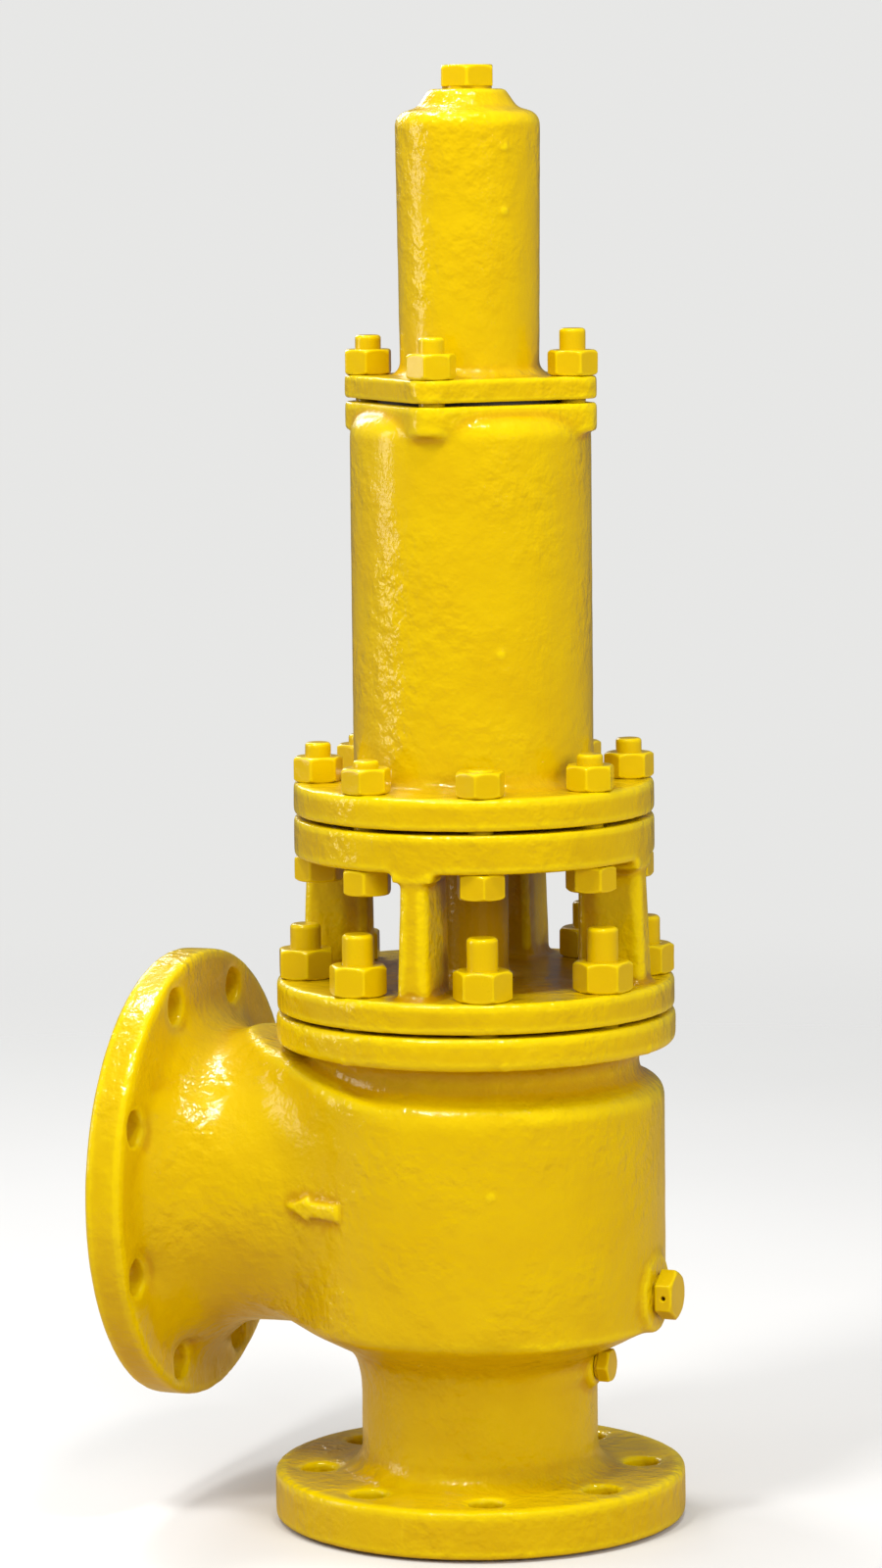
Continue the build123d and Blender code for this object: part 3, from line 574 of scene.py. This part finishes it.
def apply_modifiers(target: bpy.types.Object) -> None:
    """Replaces an object's mesh by what its modifiers make of it."""
    ready = target.evaluated_get(bpy.context.evaluated_depsgraph_get())
    mesh = bpy.data.meshes.new_from_object(ready)
    old = target.data
    target.modifiers.clear()
    target.data = mesh
    bpy.data.meshes.remove(old)


def read_rows(items: bpy.types.bpy_prop_collection, name: str) -> np.ndarray:
    """Returns a three-number property of a mesh's points or faces as rows."""
    flat = np.empty(len(items) * 3)
    items.foreach_get(name, flat)
    return flat.reshape(-1, 3)


def points_of(mesh: bpy.types.Mesh) -> np.ndarray:
    """Returns a mesh's points as rows of x, y and z."""
    return read_rows(mesh.vertices, "co")


def normals_of(mesh: bpy.types.Mesh) -> np.ndarray:
    """Returns a mesh's point normals as rows of x, y and z."""
    return read_rows(mesh.vertices, "normal")


def set_points(mesh: bpy.types.Mesh, points: np.ndarray) -> None:
    """Moves a mesh's points."""
    mesh.vertices.foreach_set("co", points.ravel())
    mesh.update()


def edges_of(mesh: bpy.types.Mesh) -> np.ndarray:
    """Returns a mesh's edges as rows of two point numbers."""
    flat = np.empty(len(mesh.edges) * 2, int)
    mesh.edges.foreach_get("vertices", flat)
    return flat.reshape(-1, 2)


def relax(points: np.ndarray, edges: np.ndarray, rounds: int,
          share: np.ndarray | float) -> np.ndarray:
    """Draws each point towards the middle of its neighbours.

    Args:
        points: the points.
        edges: the edges between them.
        rounds: how many times.
        share: how far each time, from 0 to 1, for all points or for each.

    Returns:
        The moved points.
    """
    count = len(points)
    both = np.concatenate([edges, edges[:, ::-1]])
    near = np.bincount(both[:, 0], minlength=count).clip(1)
    share = np.broadcast_to(share, count)[:, None]
    for _ in range(rounds):
        sums = [np.bincount(both[:, 0], points[both[:, 1], k], count) for k in range(3)]
        points = points + (np.stack(sums, 1) / near[:, None] - points) * share
    return points


def ripple(points: np.ndarray, size: float, depth: float, seed: float) -> np.ndarray:
    """Returns a smooth random height for each point.

    Args:
        points: the points.
        size: the distance across one ripple.
        depth: the greatest height.
        seed: shifts the pattern.

    Returns:
        A height for each point.
    """
    shift = Vector((seed, seed * 1.7, seed * 0.6))
    return np.array([noise.noise(Vector(p) / size + shift) for p in points]) * depth


def remesh(target: bpy.types.Object, voxel: float) -> None:
    """Wraps an object in one even skin."""
    skin = target.modifiers.new("skin", "REMESH")
    skin.mode, skin.voxel_size, skin.use_smooth_shade = "VOXEL", voxel, True
    apply_modifiers(target)


@dataclass
class BroadFill:
    """Fills the hollows of a region with one broad curve, worked out on a coarse skin."""

    share: Share
    voxel: float = 5 * MM
    rounds: int = 320
    pull: float = 0.6
    neighbours: int = 4
    least_distance: float = 0.2 * MM

    def raise_points(self, target: bpy.types.Object) -> None:
        """Moves an object's points outwards where the region is hollow.

        Args:
            target: the object, whose mesh is one closed skin.
        """
        coarse = keep("coarse", target.data.copy())
        remesh(coarse, self.voxel)
        before = points_of(coarse.data)
        after = relax(before, edges_of(coarse.data), self.rounds, self.share(before) * self.pull)
        tree = KDTree(len(before))
        for number, point in enumerate(before):
            tree.insert(point, number)
        tree.balance()
        mesh = target.data
        points, normals = points_of(mesh), normals_of(mesh)
        share = self.share(points)
        for number in np.flatnonzero(share > 0):
            near = tree.find_n(points[number], self.neighbours)
            weights = np.array([1.0 / (away + self.least_distance) for _, _, away in near])
            moves = np.array([after[index] - before[index] for _, index, _ in near])
            rise = (weights @ moves / weights.sum()) @ normals[number]
            points[number] += normals[number] * max(rise, 0.0)
        set_points(mesh, points)
        bpy.data.objects.remove(coarse)


@dataclass
class Recast:
    """Turns a CAD shape into one soft painted skin.

    Attributes:
        voxel: the size of the skin's cells.
        rounds: how often the whole skin is smoothed.
        pull: how far a round of blending or filleting draws a point.
        even_pull: how far a round of plain smoothing draws a point.
        lump_size: the distance across the casting's ripples.
        lump_depth: their greatest height.
        relief_rounds: how much smoothing tells hollows from edges.
        relief_full: the smoothing's move that counts as a full hollow or edge.
        most_faces: the most triangles of the finished skin.
        seed: shifts the ripples.
        blend_rounds: how often the blended region is smoothed.
        blend_share: how freely each point may be blended.
        fill: the broad fill of a hollow region.
        fillet_rounds: how often the hollows are smoothed.
        hollow_gain: how soon a hollow counts as one for filleting.
        hollow_floor: what is taken off a hollow before it counts.
        shade: painted shade that is added to the stored relief.
    """

    voxel: float
    rounds: int = 3
    pull: float = 0.6
    even_pull: float = 0.5
    lump_size: float = 14 * MM
    lump_depth: float = 0.15 * MM
    relief_rounds: int = 8
    relief_full: float = 0.35 * MM
    most_faces: int = 180_000
    seed: float = 1.0
    blend_rounds: int = 0
    blend_share: Share | None = None
    fill: BroadFill | None = None
    fillet_rounds: int = 0
    hollow_gain: float = 1.5
    hollow_floor: float = 0.15
    shade: Share | None = None

    def soften(self, target: bpy.types.Object) -> None:
        """Remeshes an object, blends its forms and rounds its corners.

        Args:
            target: the object to soften. Its mesh holds only closed shapes.
        """
        remesh(target, self.voxel)
        if self.fill is not None:
            self.fill.raise_points(target)
        mesh = target.data
        edges = edges_of(mesh)
        points = points_of(mesh)
        if self.blend_share is not None:
            blend = self.blend_share(points) * self.pull
            points = relax(points, edges, self.blend_rounds, blend)
        points = relax(points, edges, self.rounds, self.even_pull)
        set_points(mesh, points)
        hollow = (self._rise(mesh, edges) * self.hollow_gain - self.hollow_floor).clip(0, 1)
        set_points(mesh, relax(points, edges, self.fillet_rounds, hollow * self.pull))

    def fuse(self, target: bpy.types.Object, extras: list[bmesh.types.BMesh]) -> None:
        """Fuses small closed shapes into a softened object."""
        join_mesh(target, extras)
        remesh(target, self.voxel)
        mesh = target.data
        set_points(mesh, relax(points_of(mesh), edges_of(mesh), 2, self.even_pull))

    def finish(self, target: bpy.types.Object) -> None:
        """Ripples an object like a casting and stores its relief."""
        mesh = target.data
        points = points_of(mesh)
        lumps = ripple(points, self.lump_size, self.lump_depth, self.seed)
        points += normals_of(mesh) * lumps[:, None]
        set_points(mesh, points)
        rise = self._rise(mesh, edges_of(mesh))
        # Painted shade, such as the lantern's dim inside, is added to the relief.
        if self.shade is not None:
            rise += self.shade(points)
        stored = mesh.attributes.new(RELIEF, "FLOAT", "POINT")
        stored.data.foreach_set("value", rise.clip(-1, 1).astype(np.float32))
        self._thin_out(target)
        target.data.shade_smooth()

    def _rise(self, mesh: bpy.types.Mesh, edges: np.ndarray) -> np.ndarray:
        """Returns how hollow the surface is at each point: -1 on an edge, 1 in a corner."""
        points = points_of(mesh)
        soft = relax(points, edges, self.relief_rounds, self.pull)
        rise = ((soft - points) * normals_of(mesh)).sum(axis=1) / self.relief_full
        return relax(np.repeat(rise[:, None], 3, 1), edges, 2, self.even_pull)[:, 0]

    def _thin_out(self, target: bpy.types.Object) -> None:
        """Brings an object under its most faces, counted as triangles."""
        faces = sum(len(face.vertices) - 2 for face in target.data.polygons)
        if faces > self.most_faces:
            thin = target.modifiers.new("thin", "DECIMATE")
            thin.ratio = self.most_faces / faces
            apply_modifiers(target)


def knob(place: Vector, radii: Place, turn: Matrix) -> bmesh.types.BMesh:
    """Makes a closed egg of three radii, for a casting pip."""
    made = bmesh.new()
    bmesh.ops.create_icosphere(made, subdivisions=3, radius=1.0)
    matrix = Matrix.Translation(place) @ turn @ Matrix.Diagonal((*radii, 1.0))
    bmesh.ops.transform(made, matrix=matrix, verts=made.verts)
    return made


def slab(outline: Iterable[tuple[float, float]], matrix: Matrix,
         depth: float) -> bmesh.types.BMesh:
    """Makes a closed plate from an outline, as deep above the matrix's XY plane as below it."""
    made = bmesh.new()
    corners = [made.verts.new((x, y, -depth)) for x, y in outline]
    face = made.faces.new(corners)
    risen = bmesh.ops.extrude_face_region(made, geom=[face])
    tops = [item for item in risen["geom"] if isinstance(item, bmesh.types.BMVert)]
    bmesh.ops.translate(made, verts=tops, vec=(0, 0, 2 * depth))
    bmesh.ops.recalc_face_normals(made, faces=made.faces)
    bmesh.ops.transform(made, matrix=matrix, verts=made.verts)
    return made


# The valve's pieces

OUTLET_HEIGHT = 205 * MM
OUTLET_RAISED_FACE = -203.6 * MM
OUTLET_FACE_RADIUS = 108.5 * MM
OUTLET_BORE_RADIUS = 77.5 * MM
OUTLET_NECK_RADIUS = 82 * MM
BOWL_OUTSIDE = 108.8 * MM
BOWL_INSIDE = 104.5 * MM
INLET_NECK_OUTSIDE = 68 * MM
INLET_NECK_INSIDE = 62 * MM
SHOULDER_OUTSIDE = 92 * MM
WELL_INSIDE = 86 * MM
BODY_PIPS = (
    (-44 * MM, -120 * MM, 296 * MM),
    (61 * MM, -112 * MM, 296 * MM),
    (127 * MM, -24 * MM, 296 * MM),
    (46.7 * MM, -105.6 * MM, 220.7 * MM),
)
BONNET_PIPS = ((40 * MM, -60 * MM, 541 * MM),)
CAP_PIPS = ((30 * MM, -25 * MM, 842 * MM), (30 * MM, -25 * MM, 804 * MM))


def ramp(values: np.ndarray, start: float | np.ndarray, width: float) -> np.ndarray:
    """Rises from 0 at the start to 1 one width further. A width below 0 runs downwards."""
    return np.clip((values - start) / width, 0, 1)


def bowl_share(points: np.ndarray) -> np.ndarray:
    """Returns how freely each point may be smoothed: only outside on the bowl and belly."""
    x, y, z = points.T
    below_flange = ramp(z, np.where(x < -50 * MM, 300, 280) * MM, -12 * MM)
    above_inlet = ramp(z, 60 * MM, 15 * MM)
    inside_outlet_flange = ramp(x, -178 * MM, 12 * MM)
    before_screws = ramp(x, 72 * MM, -20 * MM)
    wall = np.select([z < 125 * MM, z > 268 * MM], [INLET_NECK_OUTSIDE, SHOULDER_OUTSIDE],
                     BOWL_OUTSIDE)
    along = inside_outlet_flange * before_screws
    return below_flange * above_inlet * along * (np.hypot(x, y) > wall)


def saddle_share(points: np.ndarray) -> np.ndarray:
    """Returns how far each point lies in the saddle of bowl and outlet neck, outside."""
    x, y, z = points.T
    below_shoulder = ramp(z, 270 * MM, -25 * MM)
    above_inlet = ramp(z, 85 * MM, 20 * MM)
    along = ramp(x, -185 * MM, 15 * MM) * ramp(x, -15 * MM, -30 * MM)
    off_bowl = np.hypot(x, y) > BOWL_OUTSIDE
    off_neck = np.hypot(y, z - OUTLET_HEIGHT) > OUTLET_NECK_RADIUS
    return below_shoulder * above_inlet * along * (off_bowl & off_neck)


def lantern_painted_shade(points: np.ndarray) -> np.ndarray:
    """Returns how deep in the lantern each point lies, for painted shade that darkens its dim
    inside.
    """
    x, y, z = points.T
    deep = ramp(np.hypot(x, y), 88 * MM, -16 * MM)
    return deep * ramp(z, 325 * MM, 10 * MM) * ramp(z, 436 * MM, -10 * MM)


@dataclass
class Painted:
    """A CAD node that is shown as a painted skin of its own."""

    node: str
    body: str
    slot: Slot
    recast: Recast
    pips: tuple[Place, ...] = ()
    pip_radius: float = 3.2 * MM
    pip_height: float = 1.0 * MM

    def extras(self, surface: BVHTree) -> list[bmesh.types.BMesh]:
        """Makes the closed shapes that are fused into the skin.

        Args:
            surface: the surface of the piece so far.

        Returns:
            The casting's pips.
        """
        radii = (self.pip_radius, self.pip_radius, self.pip_height)
        made = []
        for place in self.pips:
            spot, normal = surface.find_nearest(place)[:2]
            turn = normal.to_track_quat("Z", "Y").to_matrix().to_4x4()
            made.append(knob(spot, radii, turn))
        return made

    def build(self, nodes: Nodes, finish: bpy.types.Material) -> bpy.types.Object:
        """Makes the piece and lets it stand for its node.

        Args:
            nodes: the CAD's objects by node name.
            finish: the material of the whole skin.

        Returns:
            The new object.
        """
        piece = copy_of(nodes[self.node], f"{self.node}_skin")
        self.recast.soften(piece)
        surface = BVHTree.FromPolygons([point.co for point in piece.data.vertices],
                                       [face.vertices[:] for face in piece.data.polygons])
        extras = self.extras(surface)
        if extras:
            self.recast.fuse(piece, extras)
        self.recast.finish(piece)
        lowest, highest = np.array(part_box(self.node))
        set_points(piece.data, points_of(piece.data).clip(lowest, highest))
        piece.data.materials.clear()
        piece.data.materials.append(finish)
        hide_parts(self.node)
        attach(piece, self.body)
        log.info("%s: %d faces", piece.name, len(piece.data.polygons))
        return piece


@dataclass
class BodyCasting(Painted):
    """The cast body, with its flow arrow and casting pips."""

    arrow_place: Place = (-71 * MM, -100 * MM, 204.5 * MM)
    arrow_length: float = 40 * MM
    arrow_height: float = 15 * MM
    arrow_depth: float = 3.6 * MM
    arrow_head_share: float = 0.38
    arrow_shaft_share: float = 0.6
    facing: float = 0.3
    facing_out: float = 0.35

    def extras(self, surface: BVHTree) -> list[bmesh.types.BMesh]:
        """Makes the casting's pips and its flow arrow, which points to the outlet.

        Args:
            surface: the surface of the piece so far.

        Returns:
            The pips and the arrow, all closed.
        """
        half, tall = self.arrow_length / 2, self.arrow_height / 2
        neck = half - self.arrow_length * self.arrow_head_share
        shaft = tall * self.arrow_shaft_share
        outline = [(-half, -shaft), (neck, -shaft), (neck, -tall), (half, 0), (neck, tall),
                   (neck, shaft), (-half, shaft)]
        spot, normal = surface.find_nearest(self.arrow_place)[:2]
        ahead = Vector((-1.0, 0.0, 0.0))
        ahead = (ahead - normal * ahead.dot(normal)).normalized()
        turn = Matrix((ahead, normal.cross(ahead), normal)).transposed().to_4x4()
        arrow = slab(outline, Matrix.Translation(spot) @ turn, self.arrow_depth)
        return [*super().extras(surface), arrow]

    def inside(self, points: np.ndarray, normals: np.ndarray) -> np.ndarray:
        """Tells which faces lie on the body's inner walls.

        Args:
            points: the faces' middles, rows of x, y and z.
            normals: the faces' normals.

        Returns:
            A true or false for each face.
        """
        x, y, z = points.T
        from_spindle = np.hypot(x, y)
        from_outlet = np.hypot(y, z - OUTLET_HEIGHT)
        bore = (from_outlet < OUTLET_BORE_RADIUS) & (x < 0) & (x > -204 * MM)
        bowl = (from_spindle < BOWL_INSIDE) & (z > 100 * MM) & (z < 278 * MM)
        well = (from_spindle < WELL_INSIDE) & (z >= 270 * MM) & (z < 314 * MM)
        shank = (from_spindle < INLET_NECK_INSIDE) & (z > 2 * MM) & (z <= 120 * MM)
        outwards = (normals[:, 0] * x + normals[:, 1] * y) / from_spindle.clip(1 * MM)
        shoulder = (normals[:, 2] > self.facing) & (z > 266 * MM)
        underside = (normals[:, 2] < -self.facing) & (z < 130 * MM)
        outer = (outwards > self.facing_out) | shoulder | underside
        return bore | (bowl & ~outer) | well | shank

    def build_lined(self, nodes: Nodes, enamel: bpy.types.Material, cast: bpy.types.Material,
                    machined: bpy.types.Material) -> bpy.types.Object:
        """Makes the casting with bare walls inside and machined faces.

        Args:
            nodes: the CAD's objects by node name.
            enamel: the outer finish.
            cast: the finish of the inner walls.
            machined: the finish of the outlet's raised face.

        Returns:
            The new object.
        """
        piece = self.build(nodes, enamel)
        mesh = piece.data
        mesh.materials.append(cast)
        mesh.materials.append(machined)
        centres, normals = (read_rows(mesh.polygons, name) for name in ("center", "normal"))
        x, y, z = centres.T
        on_face = np.hypot(y, z - OUTLET_HEIGHT) < OUTLET_FACE_RADIUS
        index = np.where(self.inside(centres, normals), Wall.BARE, Wall.PAINTED)
        index = np.where((x < OUTLET_RAISED_FACE) & on_face, Wall.MACHINED, index)
        mesh.polygons.foreach_set("material_index", index.astype(np.int32))
        return piece


@dataclass
class Coil:
    """The spring, in two halves, cut at its middle."""

    node: str = "spring"
    still_body: str = "housing"
    followed: tuple[str, str] = ("lifting_group", "spring_stop")

    def build(self, nodes: Nodes, finish: bpy.types.Material) -> None:
        """Cuts the spring at its middle and lets each half stand for the node.

        Args:
            nodes: the CAD's objects by node name.
            finish: the material of the wire.
        """
        low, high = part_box(self.node)
        centre = (low + high) / 2
        for name, body, foot in zip(("lower", "upper"), self.followed, (low.z, high.z)):
            half = copy_of(nodes[self.node], f"{self.node}_{name}_half")
            self._cut(half, centre, foot > centre.z)
            half.data.materials.append(finish)
            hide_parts(self.node)
            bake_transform(half)

    @staticmethod
    def _cut(half: bpy.types.Object, centre: Vector, keep_top: bool) -> None:
        """Cuts away one half of a closed mesh and closes the cut."""
        made = bmesh.new()
        made.from_mesh(half.data)
        cut = bmesh.ops.bisect_plane(made, geom=[*made.verts, *made.edges, *made.faces],
                                     plane_co=centre, plane_no=(0, 0, 1),
                                     clear_inner=keep_top, clear_outer=not keep_top)
        rim = [item for item in cut["geom_cut"] if isinstance(item, bmesh.types.BMEdge)]
        bmesh.ops.contextual_create(made, geom=rim)
        bmesh.ops.recalc_face_normals(made, faces=made.faces)
        made.to_mesh(half.data)
        made.free()


@dataclass(frozen=True)
class Lamp:
    """An area lamp that faces the valve.

    Attributes:
        name: the lamp's name.
        place: where it hangs.
        size: its width and height.
        power: its power in watts.
        glint: whether glossy surfaces reflect it.
    """

    name: str
    place: Place
    size: tuple[float, float]
    power: float
    glint: bool = True

    def hang(self, target: Vector) -> None:
        """Hangs the lamp and turns it to a target."""
        data = bpy.data.lights.new(self.name, "AREA")
        data.shape, data.energy = "RECTANGLE", self.power
        data.size, data.size_y = self.size
        lamp = bpy.data.objects.new(self.name, data)
        lamp.visible_glossy = self.glint
        bpy.context.scene.collection.objects.link(lamp)
        lamp.location = self.place
        lamp.rotation_mode = "QUATERNION"
        lamp.rotation_quaternion = (target - Vector(self.place)).to_track_quat("-Z", "Y")


LAMPS = (
    Lamp("key", (-1.3, -2.3, 2.3), (1.1, 1.1), 20.0, glint=False),
    Lamp("fill", (2.3, -1.6, 1.3), (1.2, 1.2), 41.0, glint=False),
    Lamp("window", (-2.5, -1.0, 1.1), (0.5, 1.7), 11.0),
    Lamp("ceiling_front", (-0.35, -1.3, 2.5), (0.35, 0.35), 24.0),
    Lamp("ceiling_side", (0.55, -0.7, 2.6), (0.3, 0.3), 17.0),
    Lamp("ceiling_back", (-0.9, 0.5, 2.5), (0.4, 0.4), 18.0),
    Lamp("rim", (-1.6, 1.7, 1.6), (0.9, 0.9), 12.0),
)


@dataclass
class Studio:
    """The pale ground, the lamps and the camera.

    Attributes:
        target_height: the height that the lamps face.
        distance: how far the camera stands from the spindle.
        side_angle: how far round the valve it stands.
        look_angle: how far round it looks.
        height: its height.
        pitch: how far it looks down.
        roll: how far it leans.
        focal_pixels: its focal length in pixels of a picture of image_height.
        image_height: that picture's height in pixels.
        sensor: the width of its sensor in millimetres.
        sight: the nearest and the farthest distance that it sees.
        ground_radius: the floor's radius.
        soft_light: the colour and strength of the light from all round.
        dim_light: the colour and strength that glossy surfaces reflect of it.
        background: the colour that the camera sees behind the valve.
    """

    target_height: float = 0.45
    distance: float = 3.35026
    side_angle: float = math.radians(20.26)
    look_angle: float = math.radians(20.603)
    height: float = 0.846074
    pitch: float = math.radians(6.65)
    roll: float = math.radians(-0.606)
    focal_pixels: float = 5630.33
    image_height: float = 1600
    sensor: float = 36.0
    sight: tuple[float, float] = (0.05, 60.0)
    ground_radius: float = 6.0
    soft_light: tuple[Colour, float] = ((0.95, 0.97, 1.0, 1.0), 0.55)
    dim_light: tuple[Colour, float] = ((0.9, 0.92, 1.0, 1.0), 0.1)
    background: tuple[Colour, float] = ((0.8, 0.8, 0.79, 1.0), 1.0)

    def build(self, ground: bpy.types.Material) -> None:
        """Sets up the whole studio."""
        self._camera()
        self._ground(ground)
        self._world()
        for lamp in LAMPS:
            lamp.hang(Vector((0.0, 0.0, self.target_height)))

    def _camera(self) -> None:
        """Puts the camera at the photograph's place and angle."""
        data = bpy.data.cameras.new("camera")
        data.sensor_width = self.sensor
        data.lens = self.focal_pixels * self.sensor / self.image_height
        data.clip_start, data.clip_end = self.sight
        camera = bpy.data.objects.new("camera", data)
        bpy.context.scene.collection.objects.link(camera)
        a, p, r = self.look_angle, self.pitch, self.roll
        ahead = Vector((-math.sin(a) * math.cos(p), math.cos(a) * math.cos(p), -math.sin(p)))
        level = Vector((math.cos(a), math.sin(a), 0.0))
        above = level.cross(ahead)
        right = level * math.cos(r) + above * math.sin(r)
        up = above * math.cos(r) - level * math.sin(r)
        place_x = self.distance * math.sin(self.side_angle)
        place_y = -self.distance * math.cos(self.side_angle)
        camera.matrix_world = Matrix((
            (right.x, up.x, -ahead.x, place_x),
            (right.y, up.y, -ahead.y, place_y),
            (right.z, up.z, -ahead.z, self.height),
            (0, 0, 0, 1),
        ))
        bpy.context.scene.camera = camera

    def _ground(self, finish: bpy.types.Material) -> None:
        """Makes a round pale floor that the camera sees fade into the world."""
        made = bmesh.new()
        bmesh.ops.create_circle(made, cap_ends=True, segments=96, radius=self.ground_radius)
        mesh = bpy.data.meshes.new("floor")
        made.to_mesh(mesh)
        made.free()
        mesh.materials.append(finish)
        keep("floor", mesh)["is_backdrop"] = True

    def _world(self) -> None:
        """Lights the valve softly from all round, on a pale background."""
        world = bpy.data.worlds.new("studio")
        bpy.context.scene.world = world
        world.use_nodes = True
        sheet = Sheet(world.node_tree)
        soft, dim, pale = (
            sheet.node("ShaderNodeBackground", {"Color": colour, "Strength": strength}).outputs[0]
            for colour, strength in (self.soft_light, self.dim_light, self.background)
        )
        seen_by = sheet.node("ShaderNodeLightPath").outputs
        lit = sheet.node("ShaderNodeMixShader", {0: seen_by["Is Glossy Ray"], 1: soft, 2: dim})
        mix = sheet.node("ShaderNodeMixShader",
                         {0: seen_by["Is Camera Ray"], 1: lit.outputs[0], 2: pale})
        sheet.node("ShaderNodeOutputWorld", {"Surface": mix.outputs[0]})


HOUSING = "housing"
FASTENER_BODIES = {
    "lantern_nuts": HOUSING,
    "lantern_studs": HOUSING,
    "bonnet_upper_nuts": HOUSING,
    "bonnet_lower_nuts": HOUSING,
    "bonnet_studs": HOUSING,
    "cap_nuts": HOUSING,
    "cap_studs": HOUSING,
    "cap_plug": "cap_plug_screw",
    "ring_set_screw": "set_screw",
    "drain_plug": "drain",
}
FIRST_FASTENER_SEED = 5.0


class Valve:
    """The whole dressed valve."""

    def __init__(self, frame: dict) -> None:
        """Draws every finish.

        Args:
            frame: the loaded CAD frame.
        """
        self.nodes: Nodes = frame["nodes"]
        self.subparts: list[dict] = frame["record"]["subparts"]
        groups = Groups()
        self.casting = Enamel("yellow_enamel_casting").material(groups)
        # The lantern's darker pooled colour is painted shade for its dim inside.
        self.lantern = Enamel("yellow_enamel_lantern",
                              pooled_and_shaded=(0.36, 0.16, 0.0, 1.0)).material(groups)
        self.outlet_face = TurnedMetal("turned_outlet_face", axis=Axis.OUTLET,
                                       centre_height=OUTLET_HEIGHT,
                                       mark_depth=0.02 * MM).material(groups)
        self.cast = CastMetal("bare_casting").material(groups)
        self.ground = PaleGround("pale_ground").material(groups)
        fastener = Enamel("yellow_enamel_fastener", lump_depth=0.2 * MM,
                          grain_depth=0.08 * MM, stroke_depth=0.0)
        spring = Enamel("dark_enamel_spring", lit=(0.03, 0.032, 0.035, 1.0),
                        pooled_and_shaded=(0.02, 0.02, 0.022, 1.0), thin=(0.06, 0.06, 0.06, 1.0),
                        lump_depth=0.03 * MM)
        turned = TurnedMetal("turned_carbon_steel", bright=(0.42, 0.41, 0.39, 1.0),
                             dull=(0.2, 0.19, 0.17, 1.0))
        bronze = TurnedMetal("turned_bronze", bright=(0.6, 0.38, 0.16, 1.0),
                             dull=(0.34, 0.2, 0.08, 1.0))
        self.finishes = {
            Slot.CASTING: self.casting,
            Slot.FASTENER: fastener.material(groups),
            Slot.TRIM: TurnedMetal("turned_stainless").material(groups),
            Slot.TURNED: turned.material(groups),
            Slot.SPRING: spring.material(groups),
            Slot.BRONZE: bronze.material(groups),
            Slot.GASKET: GasketSheet("graphite_gasket").material(groups),
        }

    def dress_nodes(self) -> None:
        """Gives every CAD node that stays in view the material of its slot."""
        for part in self.subparts:
            mesh = self.nodes[part["node"]].data
            finish = self.finishes[Slot(part["material_slot"])]
            mesh.materials.clear()
            mesh.materials.append(finish)
            log.info("%s: %s", part["node"], finish.name)

    def build(self) -> None:
        """Builds every piece."""
        self.dress_nodes()
        self._castings()
        self._fasteners()
        Coil().build(self.nodes, self.finishes[Slot.SPRING])
        Studio().build(self.ground)

    def _castings(self) -> None:
        """Builds the skins of body, lantern, bonnet and cap."""
        body = Recast(1.6 * MM, blend_rounds=60, blend_share=bowl_share,
                      fill=BroadFill(saddle_share), fillet_rounds=10)
        BodyCasting("body", HOUSING, Slot.CASTING, body, BODY_PIPS).build_lined(
            self.nodes, self.casting, self.cast, self.outlet_face)
        lantern = Recast(1.5 * MM, seed=2.0, fillet_rounds=14, shade=lantern_painted_shade)
        Painted("lantern", HOUSING, Slot.CASTING, lantern).build(self.nodes, self.lantern)
        bonnet = Recast(1.5 * MM, seed=3.0, fillet_rounds=14)
        Painted("bonnet", HOUSING, Slot.CASTING, bonnet, BONNET_PIPS).build(self.nodes,
                                                                            self.casting)
        cap = Recast(1.2 * MM, seed=4.0, fillet_rounds=14)
        Painted("cap", HOUSING, Slot.CASTING, cap, CAP_PIPS).build(self.nodes, self.casting)

    def _fasteners(self) -> None:
        """Builds the skins of the nuts, studs, screws and plugs that show."""
        for number, (node, body) in enumerate(FASTENER_BODIES.items()):
            recast = Recast(0.7 * MM, rounds=2, lump_size=7 * MM, lump_depth=0.1 * MM,
                            most_faces=60_000, seed=FIRST_FASTENER_SEED + number)
            Painted(node, body, Slot.FASTENER, recast).build(self.nodes,
                                                             self.finishes[Slot.FASTENER])


def main() -> list:
    """Builds the valve and its studio.

    Returns:
        The CAD's box, lowest and highest corner.
    """
    logging.basicConfig(level=logging.INFO, format="%(message)s")
    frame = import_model()
    cad_box = [list(corner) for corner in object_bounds()]
    bpy.context.scene.view_settings.view_transform = "Standard"
    Valve(frame).build()
    return cad_box


if __name__ == "__main__":
    main()
